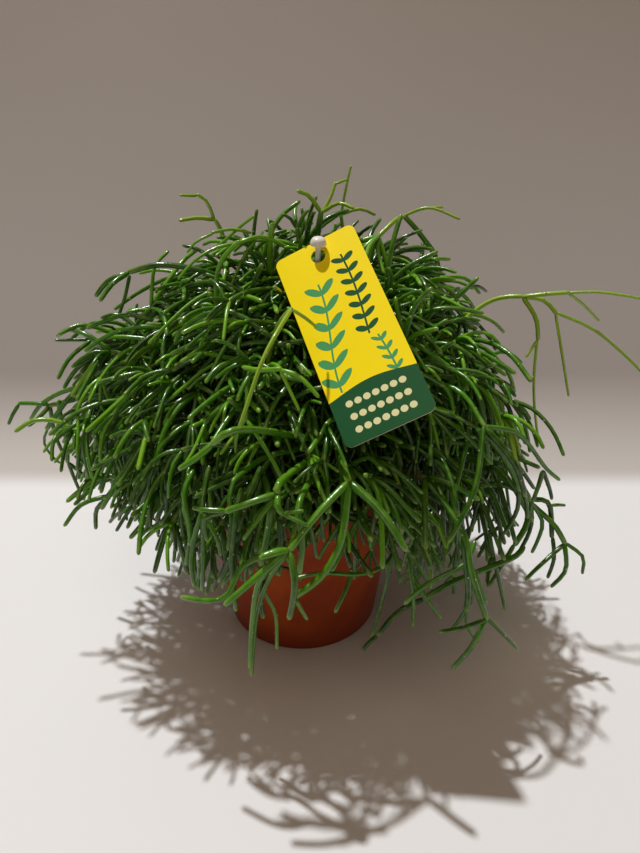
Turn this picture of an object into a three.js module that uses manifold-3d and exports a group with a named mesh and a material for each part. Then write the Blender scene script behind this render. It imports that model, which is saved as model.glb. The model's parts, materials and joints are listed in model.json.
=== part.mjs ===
// A mistletoe cactus in its nursery pot: a mop of thin, jointed, cylindrical green stems that rise from
// the soil, fork in whorls and arch over the rim, with a plant label held by a round-headed stake.
// Millimetres, +Z up, origin at the centre of the pot's base, the plant's front towards -Y.

import * as THREE from "three";
import { mergeVertices } from "three/addons/utils/BufferGeometryUtils.js";
import Module from "manifold-3d";

const wasm = await Module();
wasm.setup();

// ---------- driving dimensions ----------

const GAP = 0.3; // clearance between pieces that touch on the real plant

const POT = {
  height: 100,
  baseRadius: 44,
  wallTopRadius: 55.6, // the wall's outside where the rim band starts
  rimRadius: 59.5,
  rimHeight: 12,
  wall: 1.5,
  padRadius: 20, // flat pad in the middle of the base
  footRadius: 34, // inner edge of the foot ring
  recess: 2, // the base between the pad and the foot ring is raised by this
  sides: 24,
  drains: 6,
  drainRadius: 4.2,
};

const SOIL = { level: 87, swell: 1.4, holeRadius: 3.5, rootDepth: 12 };

const LABEL = {
  width: 40,
  height: 100,
  thickness: 0.8,
  corner: 3.5,
  holeRadius: 3.4,
  holeFromTop: 8,
  centre: [23, -48, 189],
  normal: [-0.313, -0.673, 0.67], // faces forward, up and a little to the left
  up: [-0.32, 0.739, 0.593], // from its lower end to its upper end
};

const STAKE = {
  radius: 1.3,
  headRadius: 3.8,
  headHeight: 4.6,
  headStandoff: 4.4, // from the card to the underside of the head
  foot: [3, 9], // where it stands in the soil
  depth: 45,
};

// The mop's outline. Its centre is above the soil, and towards the front it is narrower and slopes more.
const MOP = {
  centreHeight: 105,
  radius: 131,
  rise: 120,
  drop: 78,
  fullness: 1.85, // 2 is an ellipse, less is closer to a cone
  frontNarrowing: 0.25,
  frontSlope: 0.35,
  lowestTip: 38,
};

// Heights, and how far the middle of the mop lies to the right of the pot's there.
const SWAY = [[40, 36], [80, 14], [110, 0], [140, -7], [180, 2], [220, 10]];

// The outline swells and sinks in two patterns of tufts that wind upwards round the mop.
const TUFTS = [
  { height: 0.045, round: 5, pitch: 16, start: 0 },
  { height: 0.035, round: 9, pitch: -11, start: 2 },
];

const SPRAYS = 54; // places in the soil for leafy stems, the hand-placed ones included
const PLANTED_RADIUS = 43;
const GOLDEN_ANGLE = Math.PI * (3 - Math.sqrt(5));
const LOWEST_SPRAY = THREE.MathUtils.degToRad(125); // the outermost sprays point this far from straight up
const OVERARCH = 1.1; // a spray arrives pointing further down than it lies, by this factor
const STRAY_FOOT = 0.42; // a stray stands this share of the way out to its first point
const SEED = 10;

// A first stem leaves the soil upright, and bends over to arrive at its first whorl.
const RISE = {
  clearOfSoil: 2,
  upright: 40, // at most, over which it goes on upright
  arriving: 38, // at most, over which it keeps its last direction
  share: 0.42, // of the way that each of those takes, if that is less
  bends: [0.35, 0.7], // where it has rings between the soil and the whorl
};

// How far out a spray's first whorl lies in the mop, as a share of the way to the outline.
const WHORL_DEPTH = { least: 0.44, spread: 0.14, outerExtra: 0.1 };

const PLANTED_STEM = 1.7; // radius of the stems that stand in the soil
const FACET = 1.3; // a three-sided stem reaches this much further out than the round one
const ROOT_SINK = 0.6; // a stem starts this far inside the one that it grows from
const ROOT_OFFSET = 0.4; // and this far to its own side of the middle
const ROOT_PINCH = 0.2; // its width there, as a share of its full width
const FULL_WIDTH_AT = 0.3; // the share of its length at which it has its full width

// The whorls by order of branching. All stems sag, and towards the mop's edge they also hang.
const WHORLS = [
  { count: 3, length: [26, 44], radius: 1.45, droop: 0.14, hang: 0.4 },
  { count: 3, length: [22, 40], radius: 1.3, droop: 0.18, hang: 0.7 },
  { count: 2, length: [16, 32], radius: 1.15, droop: 0.18, hang: 0.9 },
];
const LEADER_TILT = [0.05, 0.4]; // the first stem of a whorl goes nearly straight on
const SIDE_TILT = [0.4, 1.15];
const OUTER_DROOP = 2; // how much more a stem sags at the mop's outer edge than over the pot
const OUTERMOST_JOINT = 0.93; // no whorl starts further out
const WHORL_SHARE = [1, 1, 0.6]; // how often a stem of each order carries its whorl
const TRIES = 14;
const TURN_JITTER = 0.6; // how uneven a whorl is, as a share of the turn between its stems
const LAST_TRY_LENGTH = 0.55; // a stem that finds no room is tried shorter, down to this share
const OUTLINE = 0.98; // most tips reach no further out
const STRAGGLE = 0.16; // how far the boldest stems may reach past that
const PROGRESS = 0.02; // every tip is at least this much further out than its joint
const SAMPLE_STEP = 2.5; // stems are kept apart at points this far apart along them
const STEM_CLEARANCE = 0.7;
const JOINT_REACH = 7.5; // stems may touch this close to the joint that they share
const CELL = 5; // wider than two stems and their clearance
const POT_CLEARANCE = 4;
const LABEL_CLEARANCE = 3.2; // of stems behind the label
const LABEL_MARGIN = 1.5; // round the label's edges

// Long stems that stand out of the mop, each as a route through chosen points. A branch starts at the
// end of the stem that it names.
const STRAYS = [
  {
    name: "arch_right",
    stems: [
      { route: [[82, 14, 169], [96, 12, 182], [105, 10, 187], [114, 8, 189]], radius: 1.23 },
      { from: 0, route: [[124, 4, 191], [134, 0, 193]], radius: 1.16 },
      { from: 1, route: [[147, -4, 195], [165, -8, 193], [179, -10, 189]], radius: 0.75 },
      { from: 1, route: [[144, 4, 187], [155, 8, 176]], radius: 0.75 },
      { from: 0, route: [[125, 8, 187], [132, 7, 180]], radius: 1.16 },
      { from: 4, route: [[153, 4, 171], [175, 0, 154], [183, -2, 146]], radius: 0.85 },
      { from: 4, route: [[136, 3, 162], [143, 0, 137]], radius: 0.77 },
      { from: 0, route: [[120, 5, 178], [123, 3, 167]], radius: 1.16 },
      { from: 7, route: [[127, 2, 140], [131, 0, 110]], radius: 0.77 },
      { from: 7, route: [[117, 0, 159]], radius: 0.75 },
    ],
  },
  {
    name: "reach_left",
    stems: [
      { route: [[-86, -10, 155], [-108, -10, 144], [-131, -10, 136]], radius: 1.31 },
      { from: 0, route: [[-147, -9, 137]], radius: 1.16 },
      { from: 1, route: [[-153, -12, 126]], radius: 1 },
      { from: 0, route: [[-140, -18, 128]], radius: 1.16 },
      { from: 0, route: [[-133, -6, 118], [-130, -4, 100]], radius: 1.08 },
    ],
  },
  {
    name: "fork_top_left",
    stems: [
      { route: [[-40, 30, 192], [-41, 30, 213], [-44, 30, 224]], radius: 1.16 },
      { from: 0, route: [[-48, 30, 232], [-52, 28, 236]], radius: 0.92 },
      { from: 1, route: [[-60, 24, 236]], radius: 0.77 },
      { from: 0, route: [[-52, 26, 225], [-61, 22, 224]], radius: 1.08 },
    ],
  },
  {
    name: "fork_top",
    stems: [
      { route: [[11, 20, 204], [11, 20, 217], [11, 20, 229]], radius: 1.54 },
      { from: 0, route: [[5, 18, 236], [-1, 15, 239]], radius: 1.16 },
      { from: 0, route: [[15, 23, 235], [18, 26, 242]], radius: 0.92 },
      { from: 0, route: [[19, 17, 233], [27, 13, 231]], radius: 1 },
      { from: 2, route: [[24, 29, 243]], radius: 0.75 },
    ],
  },
  {
    name: "shoot_top",
    stems: [
      { route: [[20, 34, 210], [21, 34, 226]], radius: 0.92 },
      { from: 0, route: [[26, 34, 249]], radius: 0.75 },
      { from: 0, route: [[31, 38, 228], [40, 42, 224]], radius: 0.92 },
    ],
  },
  {
    name: "fork_top_right",
    stems: [
      { route: [[73, 22, 201], [63, 21, 217], [52, 20, 227]], radius: 1.31 },
      { from: 0, route: [[64, 16, 230], [79, 12, 226]], radius: 0.75 },
      { from: 0, route: [[46, 12, 226], [38, 4, 219]], radius: 1.16 },
      { from: 0, route: [[62, 28, 229], [74, 34, 229]], radius: 0.75 },
    ],
  },
  {
    name: "arch_left",
    stems: [
      { route: [[-29, 0, 194], [-44, -3, 202], [-65, -6, 207], [-81, -9, 205]], radius: 1.39 },
      { from: 0, route: [[-90, -11, 202], [-97, -12, 194]], radius: 1.31 },
      { from: 0, route: [[-86, -18, 202], [-91, -24, 195]], radius: 1.23 },
    ],
  },
  {
    name: "reach_mid_left",
    stems: [
      { route: [[-80, 4, 164], [-95, 0, 169], [-106, -4, 170]], radius: 1.23 },
      { from: 0, route: [[-122, -8, 171]], radius: 0.92 },
      { from: 0, route: [[-114, -12, 163], [-120, -18, 154]], radius: 1.16 },
    ],
  },
  {
    name: "shoot_front",
    stems: [
      { route: [[-14, -44, 176], [-9, -53, 192], [-1, -60, 202]], radius: 1.1 },
      { from: 0, route: [[-7, -75, 198], [-13, -86, 189], [-20, -99, 167]], radius: 0.89 },
      { from: 0, route: [[5, -59, 198], [9, -54, 192]], radius: 0.75 },
    ],
  },
  {
    name: "fork_front",
    stems: [
      { route: [[21, -70, 140], [22, -92, 139]], radius: 1.6 },
      { from: 0, route: [[33, -104, 132], [44, -112, 120]], radius: 1.9 },
      { from: 0, route: [[10, -104, 132], [-2, -112, 120]], radius: 1.5 },
      { from: 2, route: [[-16, -118, 112], [-27, -121, 101]], radius: 1.5 },
      { from: 2, route: [[0, -118, 108], [-2, -119, 92]], radius: 1.5 },
      { from: 2, route: [[-15, -109, 104], [-19, -109, 82], [-20, -112, 58]], radius: 1.15 },
    ],
  },
  {
    name: "fork_right",
    stems: [
      { route: [[71, -52, 162], [81, -68, 152]], radius: 1.16 },
      { from: 0, route: [[75, -84, 131], [65, -90, 108]], radius: 1.31 },
      { from: 0, route: [[92, -76, 138], [100, -76, 122]], radius: 1.39 },
      { from: 0, route: [[97, -62, 144], [115, -53, 122], [125, -50, 115]], radius: 1.08 },
    ],
  },
  {
    name: "arch_low_right",
    stems: [
      { route: [[102, -30, 109], [118, -36, 98], [131, -41, 86], [137, -44, 73]], radius: 1.39 },
      { from: 0, route: [[147, -46, 67], [147, -48, 57]], radius: 1 },
      { from: 0, route: [[138, -48, 60], [131, -50, 50]], radius: 1.23 },
      { from: 0, route: [[125, -52, 66], [113, -60, 63]], radius: 1.16 },
    ],
  },
  {
    name: "fork_low_right",
    stems: [
      { route: [[74, -82, 109], [78, -92, 92], [84, -98, 72]], radius: 1.31 },
      { from: 0, route: [[77, -101, 59], [70, -101, 46]], radius: 1.23 },
      { from: 0, route: [[72, -103, 73], [61, -107, 74]], radius: 1 },
      { from: 0, route: [[92, -97, 62], [101, -95, 52]], radius: 0.92 },
    ],
  },
  {
    name: "hook_left",
    stems: [
      { route: [[-51, -50, 129], [-75, -52, 118], [-92, -50, 106]], radius: 1.39 },
      { from: 0, route: [[-100, -48, 98], [-103, -46, 84]], radius: 1.23 },
      { from: 0, route: [[-104, -54, 103], [-113, -58, 94]], radius: 1.16 },
    ],
  },
];

// ---------- random numbers that repeat ----------

function randomFrom(seed) {
  let state = seed >>> 0;
  return () => {
    state = (state + 0x6d2b79f5) >>> 0;
    let t = Math.imul(state ^ (state >>> 15), state | 1);
    t ^= t + Math.imul(t ^ (t >>> 7), t | 61);
    return ((t ^ (t >>> 14)) >>> 0) / 4294967296;
  };
}

const between = (random, [least, most]) => least + random() * (most - least);

// ---------- the space that the stems share ----------

// Keeps balls along every stem in cells, so that a new stem can be tested against its neighbours.
class Room {
  cells = new Map();

  cellOf(p) {
    return [p.x, p.y, p.z].map((c) => Math.floor(c / CELL) + 500);
  }

  take(points, radius, stem) {
    for (const p of points) {
      const [x, y, z] = this.cellOf(p);
      const key = (x * 1000 + y) * 1000 + z;
      if (!this.cells.has(key)) this.cells.set(key, []);
      this.cells.get(key).push([p, radius, stem]);
    }
  }

  // True if a ball at each point stays clear of every other stem. Near their joint, a stem may touch
  // its parent and the others of its whorl.
  isClear(points, radius, parent) {
    const joint = parent?.route.at(-1);
    for (const p of points) {
      const [x, y, z] = this.cellOf(p);
      for (let i = x - 1; i <= x + 1; i++)
        for (let j = y - 1; j <= y + 1; j++)
          for (let k = z - 1; k <= z + 1; k++)
            for (const [q, width, stem] of this.cells.get((i * 1000 + j) * 1000 + k) ?? []) {
              if (p.distanceTo(q) >= radius + width + STEM_CLEARANCE) continue;
              const isKin = parent && (stem === parent || stem?.parent === parent);
              if (!isKin || q.distanceTo(joint) > JOINT_REACH) return false;
            }
    }
    return true;
  }
}

// Points along the straight stretches of a route, at most SAMPLE_STEP apart.
function samplesOf(route) {
  const samples = [route[0]];
  for (let i = 1; i < route.length; i++) {
    const steps = Math.ceil(route[i].distanceTo(route[i - 1]) / SAMPLE_STEP);
    for (let s = 1; s <= steps; s++) samples.push(route[i - 1].clone().lerp(route[i], s / steps));
  }
  return samples;
}

// ---------- where stems may go ----------

const middle = new THREE.Vector3(0, 0, MOP.centreHeight);
const labelNormal = new THREE.Vector3(...LABEL.normal).normalize();
const labelUp = new THREE.Vector3(...LABEL.up).normalize();
const labelAcross = labelUp.clone().cross(labelNormal);
const labelCentre = new THREE.Vector3(...LABEL.centre);

// From 0 at the sides and the back of the mop to 1 at its front.
function frontness(p) {
  const level = Math.hypot(p.x, p.y);
  return level > 0 ? Math.max(0, -p.y / level) : 0;
}

// How far the middle of the mop lies to the right of the pot's at a height.
function swayAt(height) {
  const index = SWAY.findIndex(([level]) => height < level);
  const upper = index < 0 ? SWAY.length - 1 : Math.max(1, index);
  const [[low, start], [high, end]] = [SWAY[upper - 1], SWAY[upper]];
  const share = THREE.MathUtils.clamp((height - low) / (high - low), 0, 1);
  return start + share * (end - start);
}

const swayed = (p) => new THREE.Vector3(p.x + swayAt(p.z), p.y, p.z);

// How far out a point is in the mop, from 0 at its centre to 1 on its outline.
function reachOf(p) {
  const front = frontness(p);
  const radius = MOP.radius * (1 - MOP.frontNarrowing * front);
  const power = MOP.fullness - MOP.frontSlope * front ** 2;
  const height = p.z - MOP.centreHeight;
  const span = height > 0 ? MOP.rise : MOP.drop;
  const level = Math.hypot(p.x - swayAt(p.z), p.y);
  const swelling = TUFTS.map(
    (tuft) => tuft.height * Math.sin(tuft.round * Math.atan2(p.y, p.x) + p.z / tuft.pitch + tuft.start),
  ).reduce((total, swell) => total + swell, 1);
  return ((level / radius) ** power + (Math.abs(height) / span) ** power) ** (1 / power) / swelling;
}

// False in and beside the pot, under the mop's lower edge, and over the face of the label.
function isOpen(p) {
  const level = Math.hypot(p.x, p.y);
  const isByPot = level < POT.rimRadius + POT_CLEARANCE;
  const isInPot = level < PLANTED_RADIUS + POT_CLEARANCE;
  if (isByPot && !isInPot && p.z < POT.height + POT_CLEARANCE) return false;
  if (isByPot && p.z < SOIL.level - SOIL.rootDepth) return false;
  const lowest = MOP.lowestTip + frontness(p) ** 4 * (0.9 * level - 30);
  if (level > POT.rimRadius && p.z < lowest) return false;
  const offset = p.clone().sub(labelCentre);
  const overLabel =
    Math.abs(offset.dot(labelAcross)) < LABEL.width / 2 + LABEL_MARGIN &&
    Math.abs(offset.dot(labelUp)) < LABEL.height / 2 + LABEL_MARGIN &&
    offset.dot(labelNormal) > -LABEL_CLEARANCE;
  return !overLabel;
}

// ---------- growing the stems ----------

// An arc that leaves along a direction and sags by a share of its length.
function arc(start, direction, length, droop) {
  return [0, FULL_WIDTH_AT, 1].map((share) => {
    const point = start.clone().addScaledVector(direction, length * share);
    point.z -= droop * length * share ** 2;
    return point;
  });
}

// The way out of the soil: upright in the soil, then a bend that reaches a point along a direction.
function rise(foot, target, arrival) {
  const soil = new THREE.Vector3(foot.x, foot.y, SOIL.level + RISE.clearOfSoil);
  const share = RISE.share * soil.distanceTo(target);
  const bend = new THREE.CubicBezierCurve3(
    soil,
    soil.clone().setZ(soil.z + Math.min(RISE.upright, share)),
    target.clone().addScaledVector(arrival, -Math.min(RISE.arriving, share)),
    target,
  );
  const root = new THREE.Vector3(foot.x, foot.y, SOIL.level - SOIL.rootDepth);
  return [root, soil, ...RISE.bends.map((t) => bend.getPoint(t)), target];
}

// A direction by its angle from straight up and its turn about the upright.
function bearing(polar, turn) {
  const level = Math.sin(polar);
  return new THREE.Vector3(level * Math.cos(turn), level * Math.sin(turn), Math.cos(polar));
}

// A direction tilted away from another one, turned by a share of a full turn about it.
function tilted(direction, tilt, turn) {
  const helper = Math.abs(direction.z) < 0.9 ? new THREE.Vector3(0, 0, 1) : new THREE.Vector3(1, 0, 0);
  const side = helper.cross(direction).normalize();
  const other = direction.clone().cross(side);
  const angle = 2 * Math.PI * turn;
  return direction
    .clone()
    .multiplyScalar(Math.cos(tilt))
    .addScaledVector(side, Math.sin(tilt) * Math.cos(angle))
    .addScaledVector(other, Math.sin(tilt) * Math.sin(angle));
}

function hasRoom(room, route, radius, parent) {
  const samples = samplesOf(route);
  return samples.every(isOpen) && room.isClear(samples, radius * FACET, parent);
}

const endDirection = (route) => route.at(-1).clone().sub(route.at(-2)).normalize();

// Adds a stem to its spray and to the room.
function plant(room, spray, parent, order, route, radius) {
  const stem = { parent, order, route, radius };
  spray.stems.push(stem);
  room.take(samplesOf(route), radius * FACET, stem);
  return stem;
}

// Grows a whorl at the end of a stem, leaving out what has no room.
function growWhorl(room, random, spray, parent) {
  const { count, length, radius, droop, hang } = WHORLS[parent.order];
  const joint = parent.route.at(-1);
  const depth = reachOf(joint);
  if (depth > OUTERMOST_JOINT) return [];
  const ahead = endDirection(parent.route);
  const outness = Math.hypot(joint.x, joint.y) / MOP.radius;
  const sag = droop * (1 + OUTER_DROOP * outness ** 2);
  const phase = random();
  const grown = [];
  for (let index = 0; index < count; index++) {
    for (let attempt = 0; attempt < TRIES; attempt++) {
      const turn = phase + (index + TURN_JITTER * (random() - 0.5)) / count;
      const way = tilted(ahead, between(random, index ? SIDE_TILT : LEADER_TILT), turn);
      way.z -= hang * outness;
      const shrink = 1 - ((1 - LAST_TRY_LENGTH) * attempt) / TRIES;
      const route = arc(joint, way.normalize(), between(random, length) * shrink, sag);
      const limit = OUTLINE + STRAGGLE * random() ** 3;
      const tip = reachOf(route[2]);
      if (tip >= limit || tip <= depth + PROGRESS) continue;
      if (!hasRoom(room, route, radius, parent)) continue;
      grown.push(plant(room, spray, parent, parent.order + 1, route, radius));
      break;
    }
  }
  return grown;
}

// Feet on the soil in a sunflower's spiral, nearest the middle first.
function plantingPlaces() {
  return Array.from({ length: SPRAYS }, (_, i) => {
    const level = PLANTED_RADIUS * Math.sqrt((i + 0.5) / SPRAYS);
    return new THREE.Vector3(level * Math.cos(i * GOLDEN_ANGLE), level * Math.sin(i * GOLDEN_ANGLE), 0);
  });
}

const pointOf = (place) => new THREE.Vector3(...place);

// A hand-placed spray. It rises from the nearest free place that has a clear way to its first point.
function plantStray(room, free, plan) {
  const [first, ...branches] = plan.stems;
  const points = first.route.map(pointOf);
  const wish = points[0].clone().setZ(0).multiplyScalar(STRAY_FOOT).clampLength(0, PLANTED_RADIUS);
  const ahead = points[1].clone().sub(points[0]).normalize();
  free.sort((a, b) => a.distanceTo(wish) - b.distanceTo(wish));
  const index = free.findIndex((foot) => hasRoom(room, rise(foot, points[0], ahead), PLANTED_STEM));
  const [foot] = free.splice(index, 1);
  const spray = { name: plan.name, foot, stems: [] };
  const way = rise(foot, points[0], ahead);
  const knee = plant(room, spray, null, 0, way.slice(0, -1), PLANTED_STEM);
  plant(room, spray, knee, 3, [way.at(-2), ...points], first.radius);
  for (const { from, route, radius } of branches) {
    const parent = spray.stems[from + 1];
    plant(room, spray, parent, 3, [parent.route.at(-1), ...route.map(pointOf)], radius);
  }
  return spray;
}

// The first stem of a spray of the mop. It points the way that its foot lies from the middle of the pot.
function startSpray(room, random, foot, name) {
  const share = (foot.length() / PLANTED_RADIUS) ** 2;
  for (let attempt = 0; attempt < 4 * TRIES; attempt++) {
    const wander = 0.1 + (0.6 * attempt) / TRIES;
    const polar = Math.acos(1 - (1 - Math.cos(LOWEST_SPRAY)) * share) + wander * (random() - 0.5);
    const turn = Math.atan2(foot.y, foot.x) + 2 * wander * (random() - 0.5);
    const outward = bearing(polar, turn);
    const edge = 1 / reachOf(swayed(middle.clone().add(outward)));
    const depth = WHORL_DEPTH.least + WHORL_DEPTH.spread * random() + WHORL_DEPTH.outerExtra * share;
    const whorl = swayed(middle.clone().addScaledVector(outward, edge * depth));
    const route = rise(foot, whorl, bearing(polar * OVERARCH, turn));
    if (!hasRoom(room, route, PLANTED_STEM)) continue;
    const spray = { name, foot, stems: [] };
    plant(room, spray, null, 0, route, PLANTED_STEM);
    return [spray];
  }
  return [];
}

function growPlant() {
  const random = randomFrom(SEED);
  const room = new Room();
  const rod = stakeLine();
  room.take(samplesOf([rod.foot, rod.head]), STAKE.radius + 1);
  const free = plantingPlaces().filter((p) => p.distanceTo(new THREE.Vector3(...STAKE.foot, 0)) > 5);
  const strays = STRAYS.map((plan) => plantStray(room, free, plan));
  free.sort((a, b) => a.length() - b.length());
  const mop = free.flatMap((foot, i) =>
    startSpray(room, random, foot, "spray_" + String(i + 1).padStart(2, "0")),
  );
  let tips = [...strays, ...mop].map((spray) => [spray, spray.stems[0]]);
  for (const share of WHORL_SHARE)
    tips = tips.flatMap(([spray, stem]) =>
      random() < share ? growWhorl(room, random, spray, stem).map((child) => [spray, child]) : [],
    );
  return [...strays, ...mop.filter((spray) => spray.stems.length > 1)];
}

// ---------- solids ----------

// A closed three.js geometry as a manifold-3d solid.
function solid(geometry) {
  const bare = (geometry.index ? geometry.toNonIndexed() : geometry).clone();
  bare.deleteAttribute("normal");
  bare.deleteAttribute("uv");
  const merged = mergeVertices(bare, 1e-4);
  return new wasm.Manifold(
    new wasm.Mesh({
      numProp: 3,
      vertProperties: merged.attributes.position.array,
      triVerts: new Uint32Array(merged.index.array),
    }),
  );
}

function meshFrom(name, made, material) {
  const { vertProperties, triVerts } = made.getMesh();
  const geometry = new THREE.BufferGeometry();
  geometry.setAttribute("position", new THREE.BufferAttribute(vertProperties, 3));
  geometry.setIndex(new THREE.BufferAttribute(triVerts, 1));
  geometry.computeVertexNormals();
  const mesh = new THREE.Mesh(geometry, material);
  mesh.name = name;
  return mesh;
}

const polygon = (radius, sides) =>
  new THREE.Shape(
    Array.from({ length: sides }, (_, i) => {
      const angle = (2 * Math.PI * i) / sides;
      return new THREE.Vector2(radius * Math.cos(angle), radius * Math.sin(angle));
    }),
  );

const prism = (radius, sides, depth) =>
  new THREE.ExtrudeGeometry(polygon(radius, sides), { depth, bevelEnabled: false });

// A smooth route for a tube that has one ring at each of the route's points.
class RingedCurve extends THREE.CatmullRomCurve3 {
  getUtoTmapping(u) {
    return u;
  }
}

// Draws the ring of a tube that lies around a point in towards that point.
function narrow(tube, point, reach, share) {
  const place = tube.getAttribute("position");
  const corner = new THREE.Vector3();
  for (let i = 0; i < place.count; i++) {
    corner.fromBufferAttribute(place, i);
    if (corner.distanceTo(point) > reach) continue;
    corner.sub(point).multiplyScalar(share).add(point);
    place.setXYZ(i, corner.x, corner.y, corner.z);
  }
}

// A three-sided tube along a stem's route. It is pinched at the joint, where it starts a little inside
// the stem that it grows from, on its own side of the middle.
function stemSolid({ order, route, radius, parent }) {
  const points = route.map((p) => p.clone());
  const width = radius * FACET;
  if (parent) {
    const back = endDirection(parent.route);
    const side = points[1].clone().sub(points[0]);
    side.addScaledVector(back, -side.dot(back)).setLength(ROOT_OFFSET);
    points[0].addScaledVector(back, -ROOT_SINK).add(side);
  }
  const tube = new THREE.ExtrudeGeometry(polygon(width, 3), {
    steps: points.length - 1,
    extrudePath: new RingedCurve(points, false, "catmullrom", 0.5),
    bevelEnabled: false,
  });
  if (parent) narrow(tube, points[0], width * 1.01, ROOT_PINCH);
  return solid(tube);
}

function spraySolid(spray) {
  return spray.stems.map(stemSolid).reduce((whole, stem) => whole.add(stem));
}

const innerRadiusAt = (z) => {
  const slope = (POT.wallTopRadius - POT.baseRadius) / (POT.height - POT.rimHeight);
  return POT.baseRadius + slope * z - POT.wall;
};

function potSolid() {
  const { height, baseRadius, rimRadius, wall, padRadius, footRadius, recess } = POT;
  const rimFoot = height - POT.rimHeight;
  const floor = recess + wall;
  const profile = [
    [0, 0],
    [padRadius, 0],
    [padRadius + recess, recess],
    [footRadius - recess, recess],
    [footRadius, 0],
    [baseRadius - 1, 0],
    [baseRadius, 1],
    [POT.wallTopRadius, rimFoot],
    [rimRadius - 1.3, rimFoot + 0.8],
    [rimRadius, height - 0.8],
    [rimRadius - 0.8, height],
    [rimRadius - wall - 0.6, height],
    [innerRadiusAt(rimFoot), rimFoot - 1],
    [innerRadiusAt(floor), floor],
    [0, floor],
  ].map(([r, z]) => new THREE.Vector2(r, z));
  let pot = solid(new THREE.LatheGeometry(profile, POT.sides).rotateX(Math.PI / 2));
  const ring = (padRadius + footRadius) / 2;
  for (let i = 0; i < POT.drains; i++) {
    const angle = (2 * Math.PI * (i + 0.5)) / POT.drains;
    const drain = prism(POT.drainRadius, 8, floor + 4);
    pot = pot.subtract(solid(drain.translate(ring * Math.cos(angle), ring * Math.sin(angle), -2)));
  }
  return pot;
}

function soilSolid(sprays) {
  const { level, swell, holeRadius, rootDepth } = SOIL;
  const floor = POT.recess + POT.wall + GAP;
  const side = (z) => innerRadiusAt(z) - GAP;
  const profile = [
    [0, floor],
    [side(floor), floor],
    [side(level), level],
    [42, level],
    [28, level],
    [14, level],
    [0, level],
  ].map(([r, z]) => new THREE.Vector2(r, z));
  const body = new THREE.LatheGeometry(profile, POT.sides).rotateX(Math.PI / 2);
  const place = body.getAttribute("position");
  for (let i = 0; i < place.count; i++) {
    const [x, y, z] = [place.getX(i), place.getY(i), place.getZ(i)];
    const isInside = z > level - 1 && Math.hypot(x, y) < 50;
    if (isInside) place.setZ(i, z + swell * Math.sin(x / 7 + 1) * Math.cos(y / 8));
  }
  let soil = solid(body);
  const rod = stakeLine();
  const bores = sprays.map(({ foot }) =>
    prism(holeRadius, 4, rootDepth + 10).translate(foot.x, foot.y, level - rootDepth - GAP),
  );
  bores.push(prism(STAKE.radius + 0.6, 6, STAKE.depth + 12).translate(0, 0, -GAP));
  bores.at(-1).applyMatrix4(alongLine(rod.foot, rod.head));
  for (const bore of bores) soil = soil.subtract(solid(bore));
  return soil;
}

// ---------- the label and its stake ----------

function holeCentre() {
  return labelCentre.clone().addScaledVector(labelUp, LABEL.height / 2 - LABEL.holeFromTop);
}

// The stake's centreline: the card hangs on it by the upper edge of its hole.
function stakeLine() {
  const foot = new THREE.Vector3(...STAKE.foot, SOIL.level - STAKE.depth);
  const slack = LABEL.holeRadius - STAKE.radius - GAP * 2;
  const pass = holeCentre().addScaledVector(labelUp, slack * 0.45);
  const along = pass.clone().sub(foot).normalize();
  const head = pass.addScaledVector(along, STAKE.headStandoff);
  return { foot, head };
}

// A matrix that puts +Z along the line from one point to another, starting at the first.
function alongLine(from, to) {
  const turn = new THREE.Quaternion().setFromUnitVectors(
    new THREE.Vector3(0, 0, 1),
    to.clone().sub(from).normalize(),
  );
  return new THREE.Matrix4().compose(from, turn, new THREE.Vector3(1, 1, 1));
}

function stakeSolid() {
  const { radius, headRadius, headHeight } = STAKE;
  const { foot, head } = stakeLine();
  const length = foot.distanceTo(head);
  const profile = [
    [0, 0],
    [radius, 9],
    [radius, length],
    [headRadius, length + 0.6],
    [headRadius, length + 1.6],
    [headRadius * 0.78, length + headHeight * 0.8],
    [0, length + headHeight],
  ].map(([r, z]) => new THREE.Vector2(r, z));
  const stake = new THREE.LatheGeometry(profile, 12).rotateX(Math.PI / 2);
  return solid(stake.applyMatrix4(alongLine(foot, head)));
}

function labelSolid() {
  const { width, height, thickness, corner, holeRadius, holeFromTop } = LABEL;
  const [x, y] = [width / 2, height / 2];
  const outline = new THREE.Shape();
  outline.moveTo(-x + corner, -y);
  outline.lineTo(x - corner, -y);
  outline.absarc(x - corner, -y + corner, corner, -Math.PI / 2, 0);
  outline.lineTo(x, y - corner);
  outline.absarc(x - corner, y - corner, corner, 0, Math.PI / 2);
  outline.lineTo(-x + corner, y);
  outline.absarc(-x + corner, y - corner, corner, Math.PI / 2, Math.PI);
  outline.lineTo(-x, -y + corner);
  outline.absarc(-x + corner, -y + corner, corner, Math.PI, 1.5 * Math.PI);
  outline.holes.push(new THREE.Path().absarc(0, y - holeFromTop, holeRadius, 0, 2 * Math.PI));
  const card = new THREE.ExtrudeGeometry(outline, {
    depth: thickness,
    bevelEnabled: false,
    curveSegments: 4,
  });
  card.translate(0, 0, -thickness / 2);
  const place = new THREE.Matrix4().makeBasis(labelAcross, labelUp, labelNormal).setPosition(labelCentre);
  return solid(card.applyMatrix4(place));
}

// ---------- the part ----------

const matte = (color, roughness) => new THREE.MeshStandardMaterial({ color, roughness, metalness: 0 });
const terracotta = matte(0xa8431c, 0.55);
const peat = matte(0x2b1d14, 0.95);
const clearPlastic = matte(0xd8d4cc, 0.3);
const card = matte(0xf2c314, 0.4);
const green = matte(0x2f6a1c, 0.4);
const palerGreen = matte(0x4c8a22, 0.4);

const part = new THREE.Group();
const sprays = growPlant();
part.add(meshFrom("pot", potSolid(), terracotta));
part.add(meshFrom("soil", soilSolid(sprays), peat));
part.add(meshFrom("label_stake", stakeSolid(), clearPlastic));
part.add(meshFrom("label_card", labelSolid(), card));
for (const spray of sprays)
  part.add(meshFrom(spray.name, spraySolid(spray), spray.name.startsWith("spray") ? green : palerGreen));

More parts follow.
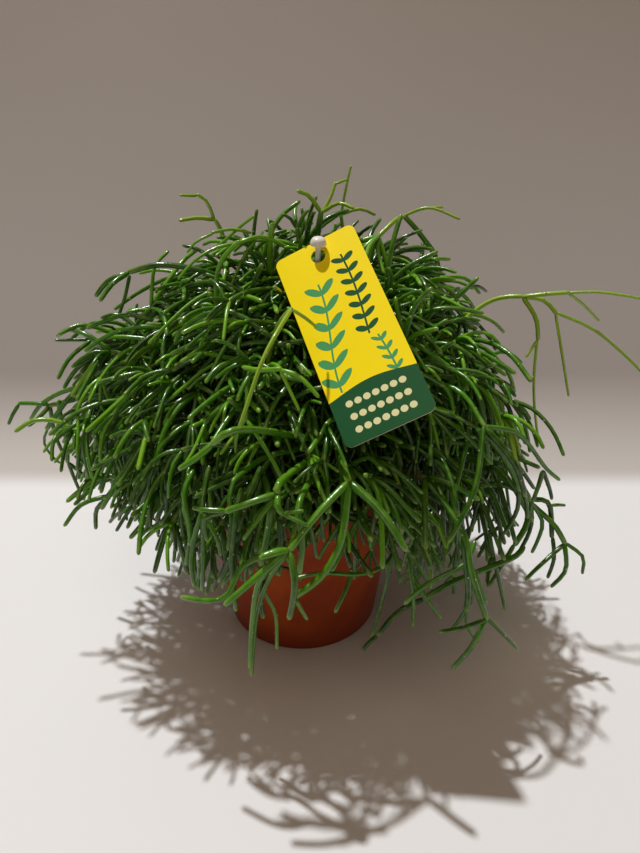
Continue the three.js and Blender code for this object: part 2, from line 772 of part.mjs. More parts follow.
export default part;
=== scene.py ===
"""A mistletoe cactus in its nursery pot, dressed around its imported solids.

It is laid out as an add-on: settings in property groups, one operator for each group of pieces and one
for the stage, and a sidebar panel. Plant and pot are worked out in millimetres and made in metres."""

import json
import math

import bmesh
import bpy
import numpy as np
from bpy.props import FloatProperty, FloatVectorProperty, IntProperty, PointerProperty
from mathutils import Matrix, Vector, noise

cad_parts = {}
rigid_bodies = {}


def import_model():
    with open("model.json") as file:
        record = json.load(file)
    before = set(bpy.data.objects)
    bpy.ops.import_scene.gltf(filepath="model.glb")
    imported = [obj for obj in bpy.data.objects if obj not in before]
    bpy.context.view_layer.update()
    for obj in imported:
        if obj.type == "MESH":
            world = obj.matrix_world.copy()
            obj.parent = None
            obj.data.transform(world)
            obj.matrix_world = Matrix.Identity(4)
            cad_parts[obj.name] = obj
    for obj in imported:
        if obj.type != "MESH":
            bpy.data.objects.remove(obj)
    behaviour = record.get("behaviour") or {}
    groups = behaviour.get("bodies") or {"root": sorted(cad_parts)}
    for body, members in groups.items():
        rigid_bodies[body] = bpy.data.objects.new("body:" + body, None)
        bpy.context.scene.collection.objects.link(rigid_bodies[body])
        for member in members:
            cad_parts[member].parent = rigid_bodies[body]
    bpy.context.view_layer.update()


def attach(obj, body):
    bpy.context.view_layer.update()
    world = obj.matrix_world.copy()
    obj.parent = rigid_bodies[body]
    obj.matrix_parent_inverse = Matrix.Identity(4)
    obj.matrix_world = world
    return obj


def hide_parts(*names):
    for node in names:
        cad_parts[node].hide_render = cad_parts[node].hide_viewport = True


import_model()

bl_info = {
    "name": "Potted mistletoe cactus",
    "version": (1, 0, 0),
    "blender": (4, 5, 0),
    "location": "View3D > Sidebar > Cactus",
    "description": "Grows a mistletoe cactus in a nursery pot with a plant label",
    "category": "Object",
}

MM = 0.001

# ---------- driving dimensions, in millimetres ----------

GAP = 0.3  # clearance between pieces that touch on the real plant

POT = {
    "height": 100.0,
    "base_radius": 44.0,
    "wall_top_radius": 55.6,
    "rim_radius": 59.5,
    "rim_height": 12.0,
    "wall": 1.5,
    "pad_radius": 20.0,
    "foot_radius": 34.0,
    "recess": 2.0,
    "drains": 6,
    "drain_radius": 4.2,
    "drain_sides": 32,
    "cutter_length": 16.0,
    "crease": 50.0,  # edges sharper than this many degrees stay sharp
}
SOIL = {
    "level": 87.0,
    "swell": 1.4,
    "swell_pitch": (7.0, 8.0),
    "lumps": 0.9,
    "lump_size": 2.6,
    "edge_drop": 1.5,
    "root_depth": 12.0,
    "rings": 40,
    "sides": 120,
}
LABEL = {
    "width": 40.0,
    "height": 100.0,
    "thickness": 0.8,
    "corner": 3.5,
    "hole_radius": 3.4,
    "hole_from_top": 8.0,
    "centre": (23.0, -48.0, 189.0),
    "normal": (-0.313, -0.673, 0.67),
    "up": (-0.32, 0.739, 0.593),
    "edge_radius": 0.12,
    "crease": 40.0,
}
STAKE = {
    "radius": 1.3,
    "head_radius": 3.8,
    "head_height": 4.6,
    "head_standoff": 4.4,
    "head_flare": 0.6,
    "head_edge": 1.0,
    "crown": (0.78, 0.8),  # where the head's top rounds off, in shares of its radius and height
    "point": 9.0,
    "foot": (3.0, 9.0),
    "depth": 45.0,
    "hang": 0.45,  # where it passes through the hole, as a share of the slack above the middle
    "elbow_room": 1.0,
    "bare_soil": 5.0,
    "sides": 40,
    "crease": 60.0,
}
MOP = {
    "centre_height": 105.0,
    "radius": 131.0,
    "rise": 120.0,
    "drop": 78.0,
    "fullness": 1.85,
    "front_narrowing": 0.25,
    "front_slope": 0.35,
    "lowest_tip": 38.0,
    "front_hem_slope": 0.9,
    "front_hem_start": 30.0,
}
# Heights, and how far to the right of the pot's middle the mop's middle lies at each.
SWAY = ((40.0, 36.0), (80.0, 14.0), (110.0, 0.0), (140.0, -7.0), (180.0, 2.0), (220.0, 10.0))
TUFTS = ((0.045, 5, 16.0, 0.0), (0.035, 9, -11.0, 2.0))  # height, tufts round, rise of a turn, start

# ---------- how the solid sprays grow ----------

SPRAYS = 54  # places in the soil, of which some stay bare
PLANTED_RADIUS = 43.0
GOLDEN_ANGLE = math.pi * (3 - math.sqrt(5))
LOWEST_SPRAY = math.radians(125)
OVERARCH = 1.1  # how much further than its own bearing a spray leans at its first whorl
WANDER = {"least": 0.1, "growth": 0.6}  # how far a spray may turn away from its bearing, from try to try
STRAY_FOOT = 0.42  # how far out a stray spray stands, as a share of the way to its first point
STRAY_ORDER = 3  # of every stem that is placed one by one
SEED = 10
RISE = {"clear_of_soil": 2.0, "upright": 40.0, "arriving": 38.0, "share": 0.42, "bends": (0.35, 0.7)}
WHORL_DEPTH = {"least": 0.44, "spread": 0.14, "outer_extra": 0.1}
PLANTED_STEM = 1.7
FACET = 1.3
ROOT_SINK = 0.6
ROOT_OFFSET = 0.4
FULL_WIDTH_AT = 0.3
WHORLS = (
    {"count": 3, "length": (26.0, 44.0), "radius": 1.45, "droop": 0.14, "hang": 0.4},
    {"count": 3, "length": (22.0, 40.0), "radius": 1.3, "droop": 0.18, "hang": 0.7},
    {"count": 2, "length": (16.0, 32.0), "radius": 1.15, "droop": 0.18, "hang": 0.9},
)
LEADER_TILT = (0.05, 0.4)  # the first stem of a whorl goes nearly straight on
SIDE_TILT = (0.4, 1.15)
OUTER_DROOP = 2.0
OUTERMOST_JOINT = 0.93
WHORL_SHARE = (1.0, 1.0, 0.6)
TRIES = 14
TURN_JITTER = 0.6
LAST_TRY_LENGTH = 0.55
OUTLINE = 0.98
STRAGGLE = 0.16  # how far the boldest stems reach past the outline
PROGRESS = 0.02  # how much nearer to the outline a stem has to end than it starts
SAMPLE_STEP = 2.5
STEM_CLEARANCE = 0.7
JOINT_REACH = 7.5
CELL = 5.0
BOW = 0.06  # how far the middle of a stem swings out at most, as a share of its length
BOW_SHARE = (0.3, 0.7)  # of that: the least, and chance's part
POT_CLEARANCE = 4.0
LABEL_CLEARANCE = 3.2
LABEL_MARGIN = 1.5

# Long stems that stand out of the mop: the radius of each, the stem that it grows from, and its route.
STRAYS = {
    "arch_right": [
        (1.23, None, [(82, 14, 169), (96, 12, 182), (105, 10, 187), (114, 8, 189)]),
        (1.16, 0, [(124, 4, 191), (134, 0, 193)]),
        (0.75, 1, [(147, -4, 195), (165, -8, 193), (179, -10, 189)]),
        (0.75, 1, [(144, 4, 187), (155, 8, 176)]),
        (1.16, 0, [(125, 8, 187), (132, 7, 180)]),
        (0.85, 4, [(153, 4, 171), (175, 0, 154), (183, -2, 146)]),
        (0.77, 4, [(136, 3, 162), (143, 0, 137)]),
        (1.16, 0, [(120, 5, 178), (123, 3, 167)]),
        (0.77, 7, [(127, 2, 140), (131, 0, 110)]),
        (0.75, 7, [(117, 0, 159)]),
    ],
    "reach_left": [
        (1.31, None, [(-86, -10, 155), (-108, -10, 144), (-131, -10, 136)]),
        (1.16, 0, [(-147, -9, 137)]),
        (1, 1, [(-153, -12, 126)]),
        (1.16, 0, [(-140, -18, 128)]),
        (1.08, 0, [(-133, -6, 118), (-130, -4, 100)]),
    ],
    "fork_top_left": [
        (1.16, None, [(-40, 30, 192), (-41, 30, 213), (-44, 30, 224)]),
        (0.92, 0, [(-48, 30, 232), (-52, 28, 236)]),
        (0.77, 1, [(-60, 24, 236)]),
        (1.08, 0, [(-52, 26, 225), (-61, 22, 224)]),
    ],
    "fork_top": [
        (1.54, None, [(11, 20, 204), (11, 20, 217), (11, 20, 229)]),
        (1.16, 0, [(5, 18, 236), (-1, 15, 239)]),
        (0.92, 0, [(15, 23, 235), (18, 26, 242)]),
        (1, 0, [(19, 17, 233), (27, 13, 231)]),
        (0.75, 2, [(24, 29, 243)]),
    ],
    "shoot_top": [
        (0.92, None, [(20, 34, 210), (21, 34, 226)]),
        (0.75, 0, [(26, 34, 249)]),
        (0.92, 0, [(31, 38, 228), (40, 42, 224)]),
    ],
    "fork_top_right": [
        (1.31, None, [(73, 22, 201), (63, 21, 217), (52, 20, 227)]),
        (0.75, 0, [(64, 16, 230), (79, 12, 226)]),
        (1.16, 0, [(46, 12, 226), (38, 4, 219)]),
        (0.75, 0, [(62, 28, 229), (74, 34, 229)]),
    ],
    "arch_left": [
        (1.39, None, [(-29, 0, 194), (-44, -3, 202), (-65, -6, 207), (-81, -9, 205)]),
        (1.31, 0, [(-90, -11, 202), (-97, -12, 194)]),
        (1.23, 0, [(-86, -18, 202), (-91, -24, 195)]),
    ],
    "reach_mid_left": [
        (1.23, None, [(-80, 4, 164), (-95, 0, 169), (-106, -4, 170)]),
        (0.92, 0, [(-122, -8, 171)]),
        (1.16, 0, [(-114, -12, 163), (-120, -18, 154)]),
    ],
    "shoot_front": [
        (1.1, None, [(-14, -44, 176), (-9, -53, 192), (-1, -60, 202)]),
        (0.89, 0, [(-7, -75, 198), (-13, -86, 189), (-20, -99, 167)]),
        (0.75, 0, [(5, -59, 198), (9, -54, 192)]),
    ],
    "fork_front": [
        (1.6, None, [(21, -70, 140), (22, -92, 139)]),
        (1.9, 0, [(33, -104, 132), (44, -112, 120)]),
        (1.5, 0, [(10, -104, 132), (-2, -112, 120)]),
        (1.5, 2, [(-16, -118, 112), (-27, -121, 101)]),
        (1.5, 2, [(0, -118, 108), (-2, -119, 92)]),
        (1.15, 2, [(-15, -109, 104), (-19, -109, 82), (-20, -112, 58)]),
    ],
    "fork_right": [
        (1.16, None, [(71, -52, 162), (81, -68, 152)]),
        (1.31, 0, [(75, -84, 131), (65, -90, 108)]),
        (1.39, 0, [(92, -76, 138), (100, -76, 122)]),
        (1.08, 0, [(97, -62, 144), (115, -53, 122), (125, -50, 115)]),
    ],
    "arch_low_right": [
        (1.39, None, [(102, -30, 109), (118, -36, 98), (131, -41, 86), (137, -44, 73)]),
        (1, 0, [(147, -46, 67), (147, -48, 57)]),
        (1.23, 0, [(138, -48, 60), (131, -50, 50)]),
        (1.16, 0, [(125, -52, 66), (113, -60, 63)]),
    ],
    "fork_low_right": [
        (1.31, None, [(74, -82, 109), (78, -92, 92), (84, -98, 72)]),
        (1.23, 0, [(77, -101, 59), (70, -101, 46)]),
        (1, 0, [(72, -103, 73), (61, -107, 74)]),
        (0.92, 0, [(92, -97, 62), (101, -95, 52)]),
    ],
    "hook_left": [
        (1.39, None, [(-51, -50, 129), (-75, -52, 118), (-92, -50, 106)]),
        (1.23, 0, [(-100, -48, 98), (-103, -46, 84)]),
        (1.16, 0, [(-104, -54, 103), (-113, -58, 94)]),
    ],
}

# ---------- how the finer shoots fill the mop ----------

FILLER_PLACES = 150  # places in the soil where a finer spray may rise
FILLER_SPACING = 3.2
FILLER_TRIES = 20
FILLER_RADIUS = 1.5
FINE_SPACE = {"clearance": 0.1, "reach": 6.0}
FINE_TRIES = 8
FINE_PROGRESS = -0.12
FINE_WHORLS = (
    {"count": 2, "length": (28.0, 54.0), "radius": 1.25, "droop": 0.55, "hang": 0.1},
    {"count": 3, "length": (26.0, 50.0), "radius": 1.15, "droop": 0.6, "hang": 0.15},
    {"count": 3, "length": (22.0, 44.0), "radius": 1.05, "droop": 0.6, "hang": 0.2},
    {"count": 3, "length": (18.0, 38.0), "radius": 0.95, "droop": 0.6, "hang": 0.2},
    {"count": 3, "length": (14.0, 30.0), "radius": 0.9, "droop": 0.6, "hang": 0.2},
    {"count": 3, "length": (10.0, 22.0), "radius": 0.8, "droop": 0.5, "hang": 0.2},
)
SWING = 0.9  # how far to the sides the finer stems drift
BENDS = ((0.15, 0.3), (0.5, 0.35), (0.85, 0.35))  # how far each stretch has turned, and its share
FINE_OUTLINE = 0.9
FINE_STRAGGLE = 0.26
FINE_CROWN = {"height": (125.0, 180.0), "extra": 0.05}  # how much further the crown's finer stems reach
# Where fewer finer shoots grow: towards the outline, low down, and about a few points.
AIRY_RIM = {"reach": (0.7, 0.98), "height": (150.0, 110.0), "share": 0.6}
AIRY_HEM = {"height": (80.0, 45.0), "share": 0.55}
AIRY_PLACES = (  # centre, radius, and the share that grows there
    ((116.0, -45.0, 78.0), 52.0, 0.06),
    ((70.0, -80.0, 60.0), 34.0, 0.15),
    ((26.0, -80.0, 76.0), 30.0, 0.0),
    ((-108.0, -52.0, 80.0), 50.0, 0.12),
    ((-14.0, -112.0, 150.0), 36.0, 0.1),
)
AIRY_CORE = 0.6  # the share of an airy place's radius up to which the least grows

# Finer shoots with a place of their own. Each group has the stem of its spray that it grows from, if any,
# and a youth from 0 to 1. For each shoot: its radius, the one of its group that it grows from, and its
# route, which has a start of its own where it grows from none.
SHOOTS = {
    "fork_front": (
        (0, 0.14, [
            (1.6, None, [(-6, -94, 142), (-6, -100, 138)]),
            (1.5, 0, [(-16, -104, 137), (-27, -104, 133)]),
            (1.2, 1, [(-34, -103, 134), (-40, -101, 133)]),
            (1.1, 1, [(-35, -102, 128), (-35, -103, 118)]),
            (1.4, 0, [(-6, -104, 136), (-4, -105, 132)]),
            (1.0, 4, [(4, -106, 135)]),
            (1.0, 4, [(1, -108, 132), (6, -108, 129)]),
            (1.1, 0, [(-14, -105, 128), (-20, -106, 121)]),
        ]),
        (0, 0.14, [(1.5, None, [(5, -98, 135), (6, -104, 120), (2, -106, 104)])]),
        (0, 0.14, [
            (1.5, None, [(-20, -90, 163), (-32, -95, 158)]),
            (1.4, 0, [(-38, -97, 153), (-45, -97, 148)]),
        ]),
        (1, 0.14, [
            (1.5, None, [(18, -100, 118), (10, -104, 102), (-1, -104, 90)]),
            (0.9, 0, [(5, -104, 78)]),
        ]),
        (3, 0.14, [
            (1.7, None, [(-7, -114, 121), (-13, -116, 120)]),
            (1.3, None, [(-20, -108, 113), (-27, -112, 102), (-35, -112, 98), (-47, -108, 94)]),
            (1.0, None, [(-10, -106, 100), (-15, -108, 84), (-18, -108, 63), (-20, -108, 49)]),
            (0.9, None, [(-10, -103, 100), (-12, -100, 89), (-8, -100, 77), (-9, -100, 57)]),
        ]),
        (None, 0.0, [
            (1.4, None, [(-9, -98, 132), (-11, -100, 120), (-14, -102, 105)]),
            (1.2, 0, [(-15, -103, 88), (-14, -103, 78)]),
            (1.3, None, [(-6, -98, 125), (-6, -98, 112), (-8, -98, 97)]),
            (1.3, None, [(-14, -84, 142), (-17, -88, 135), (-21, -92, 126), (-24, -95, 117)]),
            (1.1, 3, [(-28, -97, 101), (-33, -98, 93)]),
            (1.3, None, [(-36, -80, 140), (-38, -88, 131), (-38, -95, 126)]),
            (1.1, 5, [(-41, -95, 117), (-44, -95, 110)]),
            (1.1, 5, [(-42, -95, 105), (-44, -95, 88)]),
            (1.1, 5, [(-40, -95, 105), (-41, -95, 86)]),
            (1.1, 5, [(-33, -98, 116), (-31, -98, 107)]),
            (1.2, None, [(-22, -88, 134), (-24, -96, 125), (-27, -98, 102), (-26, -100, 79)]),
            (1.2, None, [(-24, -82, 138), (-27, -90, 131), (-26, -94, 123), (-28, -97, 109)]),
            (1.2, None, [(-43, -80, 138), (-46, -88, 131), (-44, -92, 115), (-47, -94, 99)]),
            (1.1, None, [(-24, -78, 110), (-22, -86, 99), (-19, -90, 86)]),
        ]),
        (None, 0.0, [
            (1.0, None, [(44, -76, 92), (38, -84, 90), (27, -90, 91), (12, -94, 95), (0, -96, 94)]),
            (1.1, None, [(28, -76, 94), (25, -80, 85), (22, -86, 79), (17, -90, 69)]),
            (1.0, None, [(26, -76, 106), (26, -80, 93), (26, -80, 80)]),
            (0.9, None, [(4, -96, 128), (7, -98, 119), (9, -98, 106)]),
            (0.9, None, [(10, -88, 130), (11, -92, 120), (12, -92, 110)]),
        ]),
    ),
    "fork_right": (
        (None, 0.0, [
            (1.2, None, [(115, -53, 122), (115, -51, 113), (113, -52, 104)]),
            (1.0, None, [(115, -53, 122), (121, -50, 110), (123, -50, 104)]),
            (1.6, None, [(78, -66, 150), (84, -66, 146), (91, -64, 137), (98, -62, 126), (103, -60, 115)]),
            (1.2, 2, [(108, -56, 108), (111, -54, 96)]),
            (1.1, 2, [(103, -60, 104), (98, -62, 92)]),
            (1.2, None, [
                (88, -50, 138), (97, -50, 131), (104, -48, 120), (109, -47, 110), (114, -46, 102)
            ]),
        ]),
    ),
    "arch_low_right": (
        (None, 0.0, [
            (1.5, None, [(80, -40, 98), (91, -40, 106), (103, -40, 106), (109, -40, 103), (117, -40, 97)]),
            (1.3, 0, [(124, -38, 96), (128, -38, 93), (130, -38, 85), (131, -40, 74)]),
            (1.1, 1, [(133, -42, 63), (131, -44, 51)]),
            (0.9, None, [(128, -38, 93), (133, -36, 92), (137, -35, 91)]),
            (1.5, 0, [(116, -42, 91), (115, -44, 84), (109, -48, 75)]),
            (1.2, 4, [(102, -52, 66), (96, -56, 55)]),
            (1.2, 0, [(118, -40, 86), (117, -42, 78), (113, -44, 66)]),
            (1.1, 0, [(124, -38, 84), (123, -40, 75), (121, -42, 66)]),
            (1.4, None, [(112, -54, 79), (105, -60, 77), (87, -68, 75), (71, -76, 74), (58, -82, 70)]),
            (1.2, 8, [(47, -86, 64), (37, -88, 53)]),
            (1.1, 9, [(30, -90, 46)]),
            (1.1, None, [(93, -56, 88), (96, -60, 75), (99, -62, 65), (104, -64, 47)]),
        ]),
    ),
    "fork_low_right": (
        (None, 0.0, [
            (1.3, None, [(80, -78, 100), (75, -84, 92), (64, -88, 88), (55, -90, 83), (48, -90, 74)]),
            (1.4, None, [(74, -80, 104), (76, -86, 87), (77, -88, 78), (77, -88, 68)]),
            (0.9, 1, [(80, -88, 59), (85, -88, 49)]),
            (0.9, 1, [(72, -86, 56)]),
            (0.9, None, [(50, -84, 94), (52, -90, 79), (53, -90, 61)]),
            (0.9, None, [(52, -84, 86), (60, -88, 73), (66, -88, 64)]),
            (0.9, None, [(44, -76, 94), (41, -80, 78), (38, -80, 59), (35, -80, 44)]),
        ]),
    ),
    "reach_left": (
        (None, 0.05, [
            (1.3, None, [(-81, -24, 166), (-95, -20, 160), (-110, -16, 149)]),
            (1.25, 0, [(-124, -12, 144), (-135, -10, 137), (-143, -8, 127)]),
            (1.25, None, [(-101, -20, 156), (-113, -20, 147), (-122, -20, 137), (-130, -20, 127)]),
            (0.7, 2, [(-133, -18, 119), (-132, -16, 110), (-129, -14, 104)]),
            (1.25, None, [(-123, -14, 141), (-125, -12, 129), (-124, -12, 117), (-126, -12, 103)]),
            (1.0, 4, [(-122, -12, 84)]),
            (1.0, 4, [(-116, -14, 94), (-113, -14, 88)]),
            (0.9, None, [(-118, -20, 112), (-107, -20, 101)]),
        ]),
    ),
    "reach_mid_left": (
        (None, 0.05, [
            (0.9, None, [(-81, -6, 203), (-84, -8, 193), (-88, -9, 184)]),
            (1.2, None, [(-70, -14, 183), (-82, -14, 186), (-93, -14, 183), (-103, -14, 179)]),
            (1.2, None, [(-102, -6, 163), (-112, -6, 157), (-118, -6, 151), (-123, -6, 144)]),
        ]),
    ),
    "arch_left": (
        (None, 0.5, [
            (1.0, None, [(2, 4, 208), (-6, 0, 215), (-17, -6, 221), (-27, -10, 219)]),
            (0.8, 0, [(-36, -14, 216), (-46, -20, 211), (-54, -24, 205)]),
            (0.75, None, [(-22, -2, 222), (-31, -4, 224), (-40, -8, 223)]),
            (0.65, 2, [(-47, -12, 220), (-51, -14, 215)]),
            (0.8, None, [(-40, 0, 214), (-34, 0, 219), (-27, -2, 225), (-20, -4, 230)]),
        ]),
    ),
    "fork_top": (
        (None, 0.1, [
            (1.1, None, [(0, 10, 205), (0, 10, 214), (-1, 10, 223)]),
            (0.9, 0, [(-4, 10, 227), (-8, 10, 229)]),
            (1.0, 0, [(2, 10, 228), (5, 10, 231)]),
            (1.0, None, [(-24, 20, 208), (-23, 20, 220), (-21, 20, 230)]),
            (1.0, None, [(-22, 8, 212), (-13, 10, 219), (-6, 12, 221)]),
        ]),
    ),
    "shoot_front": (
        (None, 0.45, [
            (0.8, None, [(-40, -26, 200), (-48, -30, 196), (-56, -38, 190), (-65, -46, 182)]),
            (1.1, None, [(-22, -64, 178), (-15, -70, 179), (-5, -74, 181)]),
            (1.0, 1, [(2, -78, 179), (10, -82, 172)]),
            (0.8, 1, [(-2, -78, 173), (2, -81, 166)]),
            (1.1, None, [(-28, -24, 188), (-36, -28, 183), (-45, -36, 176), (-56, -40, 169)]),
            (1.1, None, [(-20, -36, 176), (-28, -40, 173), (-42, -46, 178), (-51, -50, 175)]),
            (1.0, None, [(-34, -40, 172), (-42, -44, 169), (-49, -48, 164), (-58, -52, 157)]),
        ]),
    ),
}
LEFT_BARE = ("arch_right", "shoot_top", "shoot_front", "fork_front")  # no whorls grow on their placed stems

# ---------- how young the stems look, from 0 to 1 ----------

YOUNG_SPRAYS = ("arch_right", "fork_top_left", "fork_top", "shoot_top", "fork_top_right", "shoot_front")
YOUNG_RADIUS = 1.3  # their placed stems thinner than this are young
FRESH_SPRAY = "fork_front"  # its placed stems are younger than most, but green
FRESH_RADIUS = 1.7  # and those thicker than this are darker
YOUTH = {"young": (0.75, 0.25), "fresh": (0.08, 0.12), "placed": (0.6, 0.6)}  # the least, and chance's part
FINE_YOUTH = 0.35  # of a placed shoot, as a share of a young stem's
THICK_YOUTH = 0.3  # of a thick fresh stem, as a share of the others'
OUTER_YOUTH = {"reach": 0.8, "most": 0.7, "rarity": 9}  # of the few outermost ends that are new
# Painted shade: stems that end further in the mop are darker, as its inside is shaded; they are older there
# too.
INNER_SHADE_REACH = (0.45, 0.85)  # over which the stems turn from dark to full green

# ---------- settings ----------


def colour(name, description, default):
    return FloatVectorProperty(
        name=name, description=description, default=default, subtype="COLOR", size=3, min=0, max=1
    )


class PlantSettings(bpy.types.PropertyGroup):
    """What a user would change on the stems."""

    fine_generations: IntProperty(
        name="Fine generations",
        description="How many times finer shoots grow from the ends of all stems",
        default=len(FINE_WHORLS),
        min=0,
        max=len(FINE_WHORLS),
    )
    sides: IntProperty(
        name="Stem sides", description="Faces round a stem", default=7, min=3, max=24
    )
    ring_spacing: FloatProperty(
        name="Ring spacing",
        description="Longest distance between two rings of a stem",
        default=4.5 * MM,
        unit="LENGTH",
    )
    thickness: FloatProperty(
        name="Stem thickness",
        description="Thickness of all stems as a share of their natural one",
        default=1.0,
        min=0.5,
        max=1.5,
        subtype="FACTOR",
    )
    areole_spacing: FloatProperty(
        name="Areole spacing",
        description="Distance between two areoles along a stem",
        default=9 * MM,
        unit="LENGTH",
    )
    areole_radius: FloatProperty(
        name="Areole radius",
        description="Radius of the small pale cushions on the stems",
        default=0.42 * MM,
        unit="LENGTH",
    )
    # dark_green also serves as the painted shade in the mop's inside, besides the skin of older stems.
    dark_green: colour("Dark green", "The skin of older stems", (0.004, 0.022, 0.0015))
    full_green: colour("Full green", "The skin of most stems", (0.056, 0.21, 0.006))
    fresh_green: colour("Fresh green", "The skin of stems of this year", (0.12, 0.34, 0.008))
    young_green: colour("Young green", "The skin of new growth", (0.3, 0.46, 0.035))
    tip_green: colour("Tip green", "The rounded ends of the stems", (0.24, 0.4, 0.06))
    bark: colour("Bark", "The woody skin of stems near the soil", (0.09, 0.07, 0.03))
    areole: colour("Areole", "The small pale cushions", (0.5, 0.52, 0.3))


class PotSettings(bpy.types.PropertyGroup):
    """What a user would change on the pot."""

    sides: IntProperty(name="Pot sides", description="Faces round the pot", default=96, min=12)
    clay: colour("Clay", "The pot's plastic", (0.4, 0.058, 0.001))
    # clay_dark is also the painted shade at the pot's foot, besides the stains.
    clay_dark: colour("Dark clay", "The pot's plastic where it is stained", (0.25, 0.024, 0.0005))
    dust: colour("Dust", "Dried soil on the pot", (0.34, 0.13, 0.05))


class SoilSettings(bpy.types.PropertyGroup):
    """What a user would change in the soil."""

    crumb_size: FloatProperty(
        name="Crumb size", description="Radius of the largest crumbs", default=2.2 * MM, unit="LENGTH"
    )
    crumb_density: FloatProperty(
        name="Crumb density", description="Crumbs to the square metre", default=160000.0, min=0
    )
    seed: IntProperty(name="Seed", description="Changes how the crumbs lie", default=4)
    peat: colour("Peat", "The soil's darkest crumbs", (0.012, 0.007, 0.004))
    bark: colour("Bark chips", "The soil's lightest crumbs", (0.1, 0.05, 0.024))


class LabelSettings(bpy.types.PropertyGroup):
    """What a user would change on the label and its stake."""

    field: colour("Field", "The label's ground", (1.0, 0.775, 0.004))
    field_cloud: colour("Field cloud", "The faint lighter clouds in the label's ground", (1.0, 0.82, 0.014))
    band: colour("Band", "The band along the label's lower end, and the dark sprig", (0.013, 0.092, 0.03))
    leaf: colour("Leaf", "The lighter printed sprigs", (0.075, 0.34, 0.12))
    cream: colour("Cream", "The light marks on the band", (0.78, 0.74, 0.4))
    edge: colour("Edge", "The card's cut edge", (0.55, 0.5, 0.36))
    stake: colour("Stake", "The stake's milky plastic", (0.9, 0.86, 0.82))


class StageSettings(bpy.types.PropertyGroup):
    """What a user would change on the stage."""

    floor: colour("Floor", "The pale floor", (0.685, 0.672, 0.672))
    wall: colour("Wall", "The wall behind", (0.288, 0.236, 0.196))
    # The wall's foot is painted lighter, as if lit by the floor.
    wall_foot_painted_light: colour("Foot of the wall", "The wall where it meets the floor", (0.44, 0.402, 0.378))
    key_power: FloatProperty(
        name="Key light",
        description="Power of the light from behind on the left",
        default=376.0,
        unit="POWER",
    )
    fill_power: FloatProperty(
        name="Fill light", description="Power of the soft light overhead", default=8.2, unit="POWER"
    )
    ambient: FloatProperty(
        name="Ambient light", description="Strength of the even light all round", default=0.068, min=0
    )


SETTINGS = {
    "cactus_plant": PlantSettings,
    "cactus_pot": PotSettings,
    "cactus_soil": SoilSettings,
    "cactus_label": LabelSettings,
    "cactus_stage": StageSettings,
}

# ---------- points and directions ----------
# Tuples of Python's own floats, so that the sprays grow exactly as their solids do.


def plus(a, b, share=1.0):
    return (a[0] + b[0] * share, a[1] + b[1] * share, a[2] + b[2] * share)


def minus(a, b):
    return (a[0] - b[0], a[1] - b[1], a[2] - b[2])


def times(a, share):
    return (a[0] * share, a[1] * share, a[2] * share)


def dot(a, b):
    return a[0] * b[0] + a[1] * b[1] + a[2] * b[2]


def cross(a, b):
    return (a[1] * b[2] - a[2] * b[1], a[2] * b[0] - a[0] * b[2], a[0] * b[1] - a[1] * b[0])


def length_of(a):
    return math.sqrt(a[0] * a[0] + a[1] * a[1] + a[2] * a[2])


def unit(a):
    return times(a, 1 / (length_of(a) or 1))


def distance(a, b):
    return length_of(minus(a, b))


def end_direction(route):
    return unit(minus(route[-1], route[-2]))


# ---------- random numbers that repeat ----------


def random_from(seed):
    """The generator that the solids use."""
    state = seed & 0xFFFFFFFF

    def draw():
        nonlocal state
        state = (state + 0x6D2B79F5) & 0xFFFFFFFF
        t = ((state ^ (state >> 15)) * (state | 1)) & 0xFFFFFFFF
        t ^= (t + ((t ^ (t >> 7)) * (t | 61))) & 0xFFFFFFFF
        return (t ^ (t >> 14)) / 4294967296

    return draw


def between(random, bounds):
    return bounds[0] + random() * (bounds[1] - bounds[0])


def chance(random, share):
    """A least value, and a part that is left to chance."""
    return share[0] + share[1] * random()


# ---------- the space that the stems share ----------


class Stem:
    """A stem's route, and where it stands in its spray. Generation 0 is in the solids too."""

    def __init__(self, parent, order, route, radius, generation=0):
        self.parent = parent
        self.order = order
        self.route = route
        self.radius = radius
        self.generation = generation
        self.children = 0
        self.youth = None


class Spray:
    """The stems that share one foot in the soil."""

    def __init__(self, name, foot):
        self.name = name
        self.foot = foot
        self.stems = []


def cell_of(p):
    return (math.floor(p[0] / CELL), math.floor(p[1] / CELL), math.floor(p[2] / CELL))


NEIGHBOURS = [(i, j, k) for i in (-1, 0, 1) for j in (-1, 0, 1) for k in (-1, 0, 1)]


class Room:
    """Keeps balls along every stem in cells, so that a new stem can be tested against its neighbours."""

    def __init__(self):
        self.cells = {}

    def take(self, points, radius, stem):
        for p in points:
            self.cells.setdefault(cell_of(p), []).append((p, radius, stem))

    def is_clear(self, points, radius, parent, clearance, reach):
        """Near their joint, a stem may touch its parent and the others of its whorl."""
        joint = parent.route[-1] if parent else None
        for p in points:
            x, y, z = cell_of(p)
            for i, j, k in NEIGHBOURS:
                for q, width, stem in self.cells.get((x + i, y + j, z + k), ()):
                    if distance(p, q) >= radius + width + clearance:
                        continue
                    is_kin = parent and stem and (stem is parent or stem.parent is parent)
                    if not is_kin or distance(q, joint) > reach:
                        return False
        return True


def samples_of(route):
    """Points along the straight stretches of a route, at most SAMPLE_STEP apart."""
    samples = [route[0]]
    for a, b in zip(route, route[1:]):
        steps = math.ceil(distance(b, a) / SAMPLE_STEP)
        way = minus(b, a)
        samples += [plus(a, way, s / steps) for s in range(1, steps + 1)]
    return samples


# ---------- where stems may go ----------

MIDDLE = (0.0, 0.0, MOP["centre_height"])
LABEL_NORMAL = unit(LABEL["normal"])
LABEL_UP = unit(LABEL["up"])
LABEL_ACROSS = cross(LABEL_UP, LABEL_NORMAL)


def ramp(value, start, end):
    """From 0 at the start to 1 at the end."""
    return min(1, max(0, (value - start) / (end - start)))


def frontness(p):
    """From 0 at the sides and the back of the mop to 1 at its front."""
    level = math.hypot(p[0], p[1])
    return max(0, -p[1] / level) if level > 0 else 0


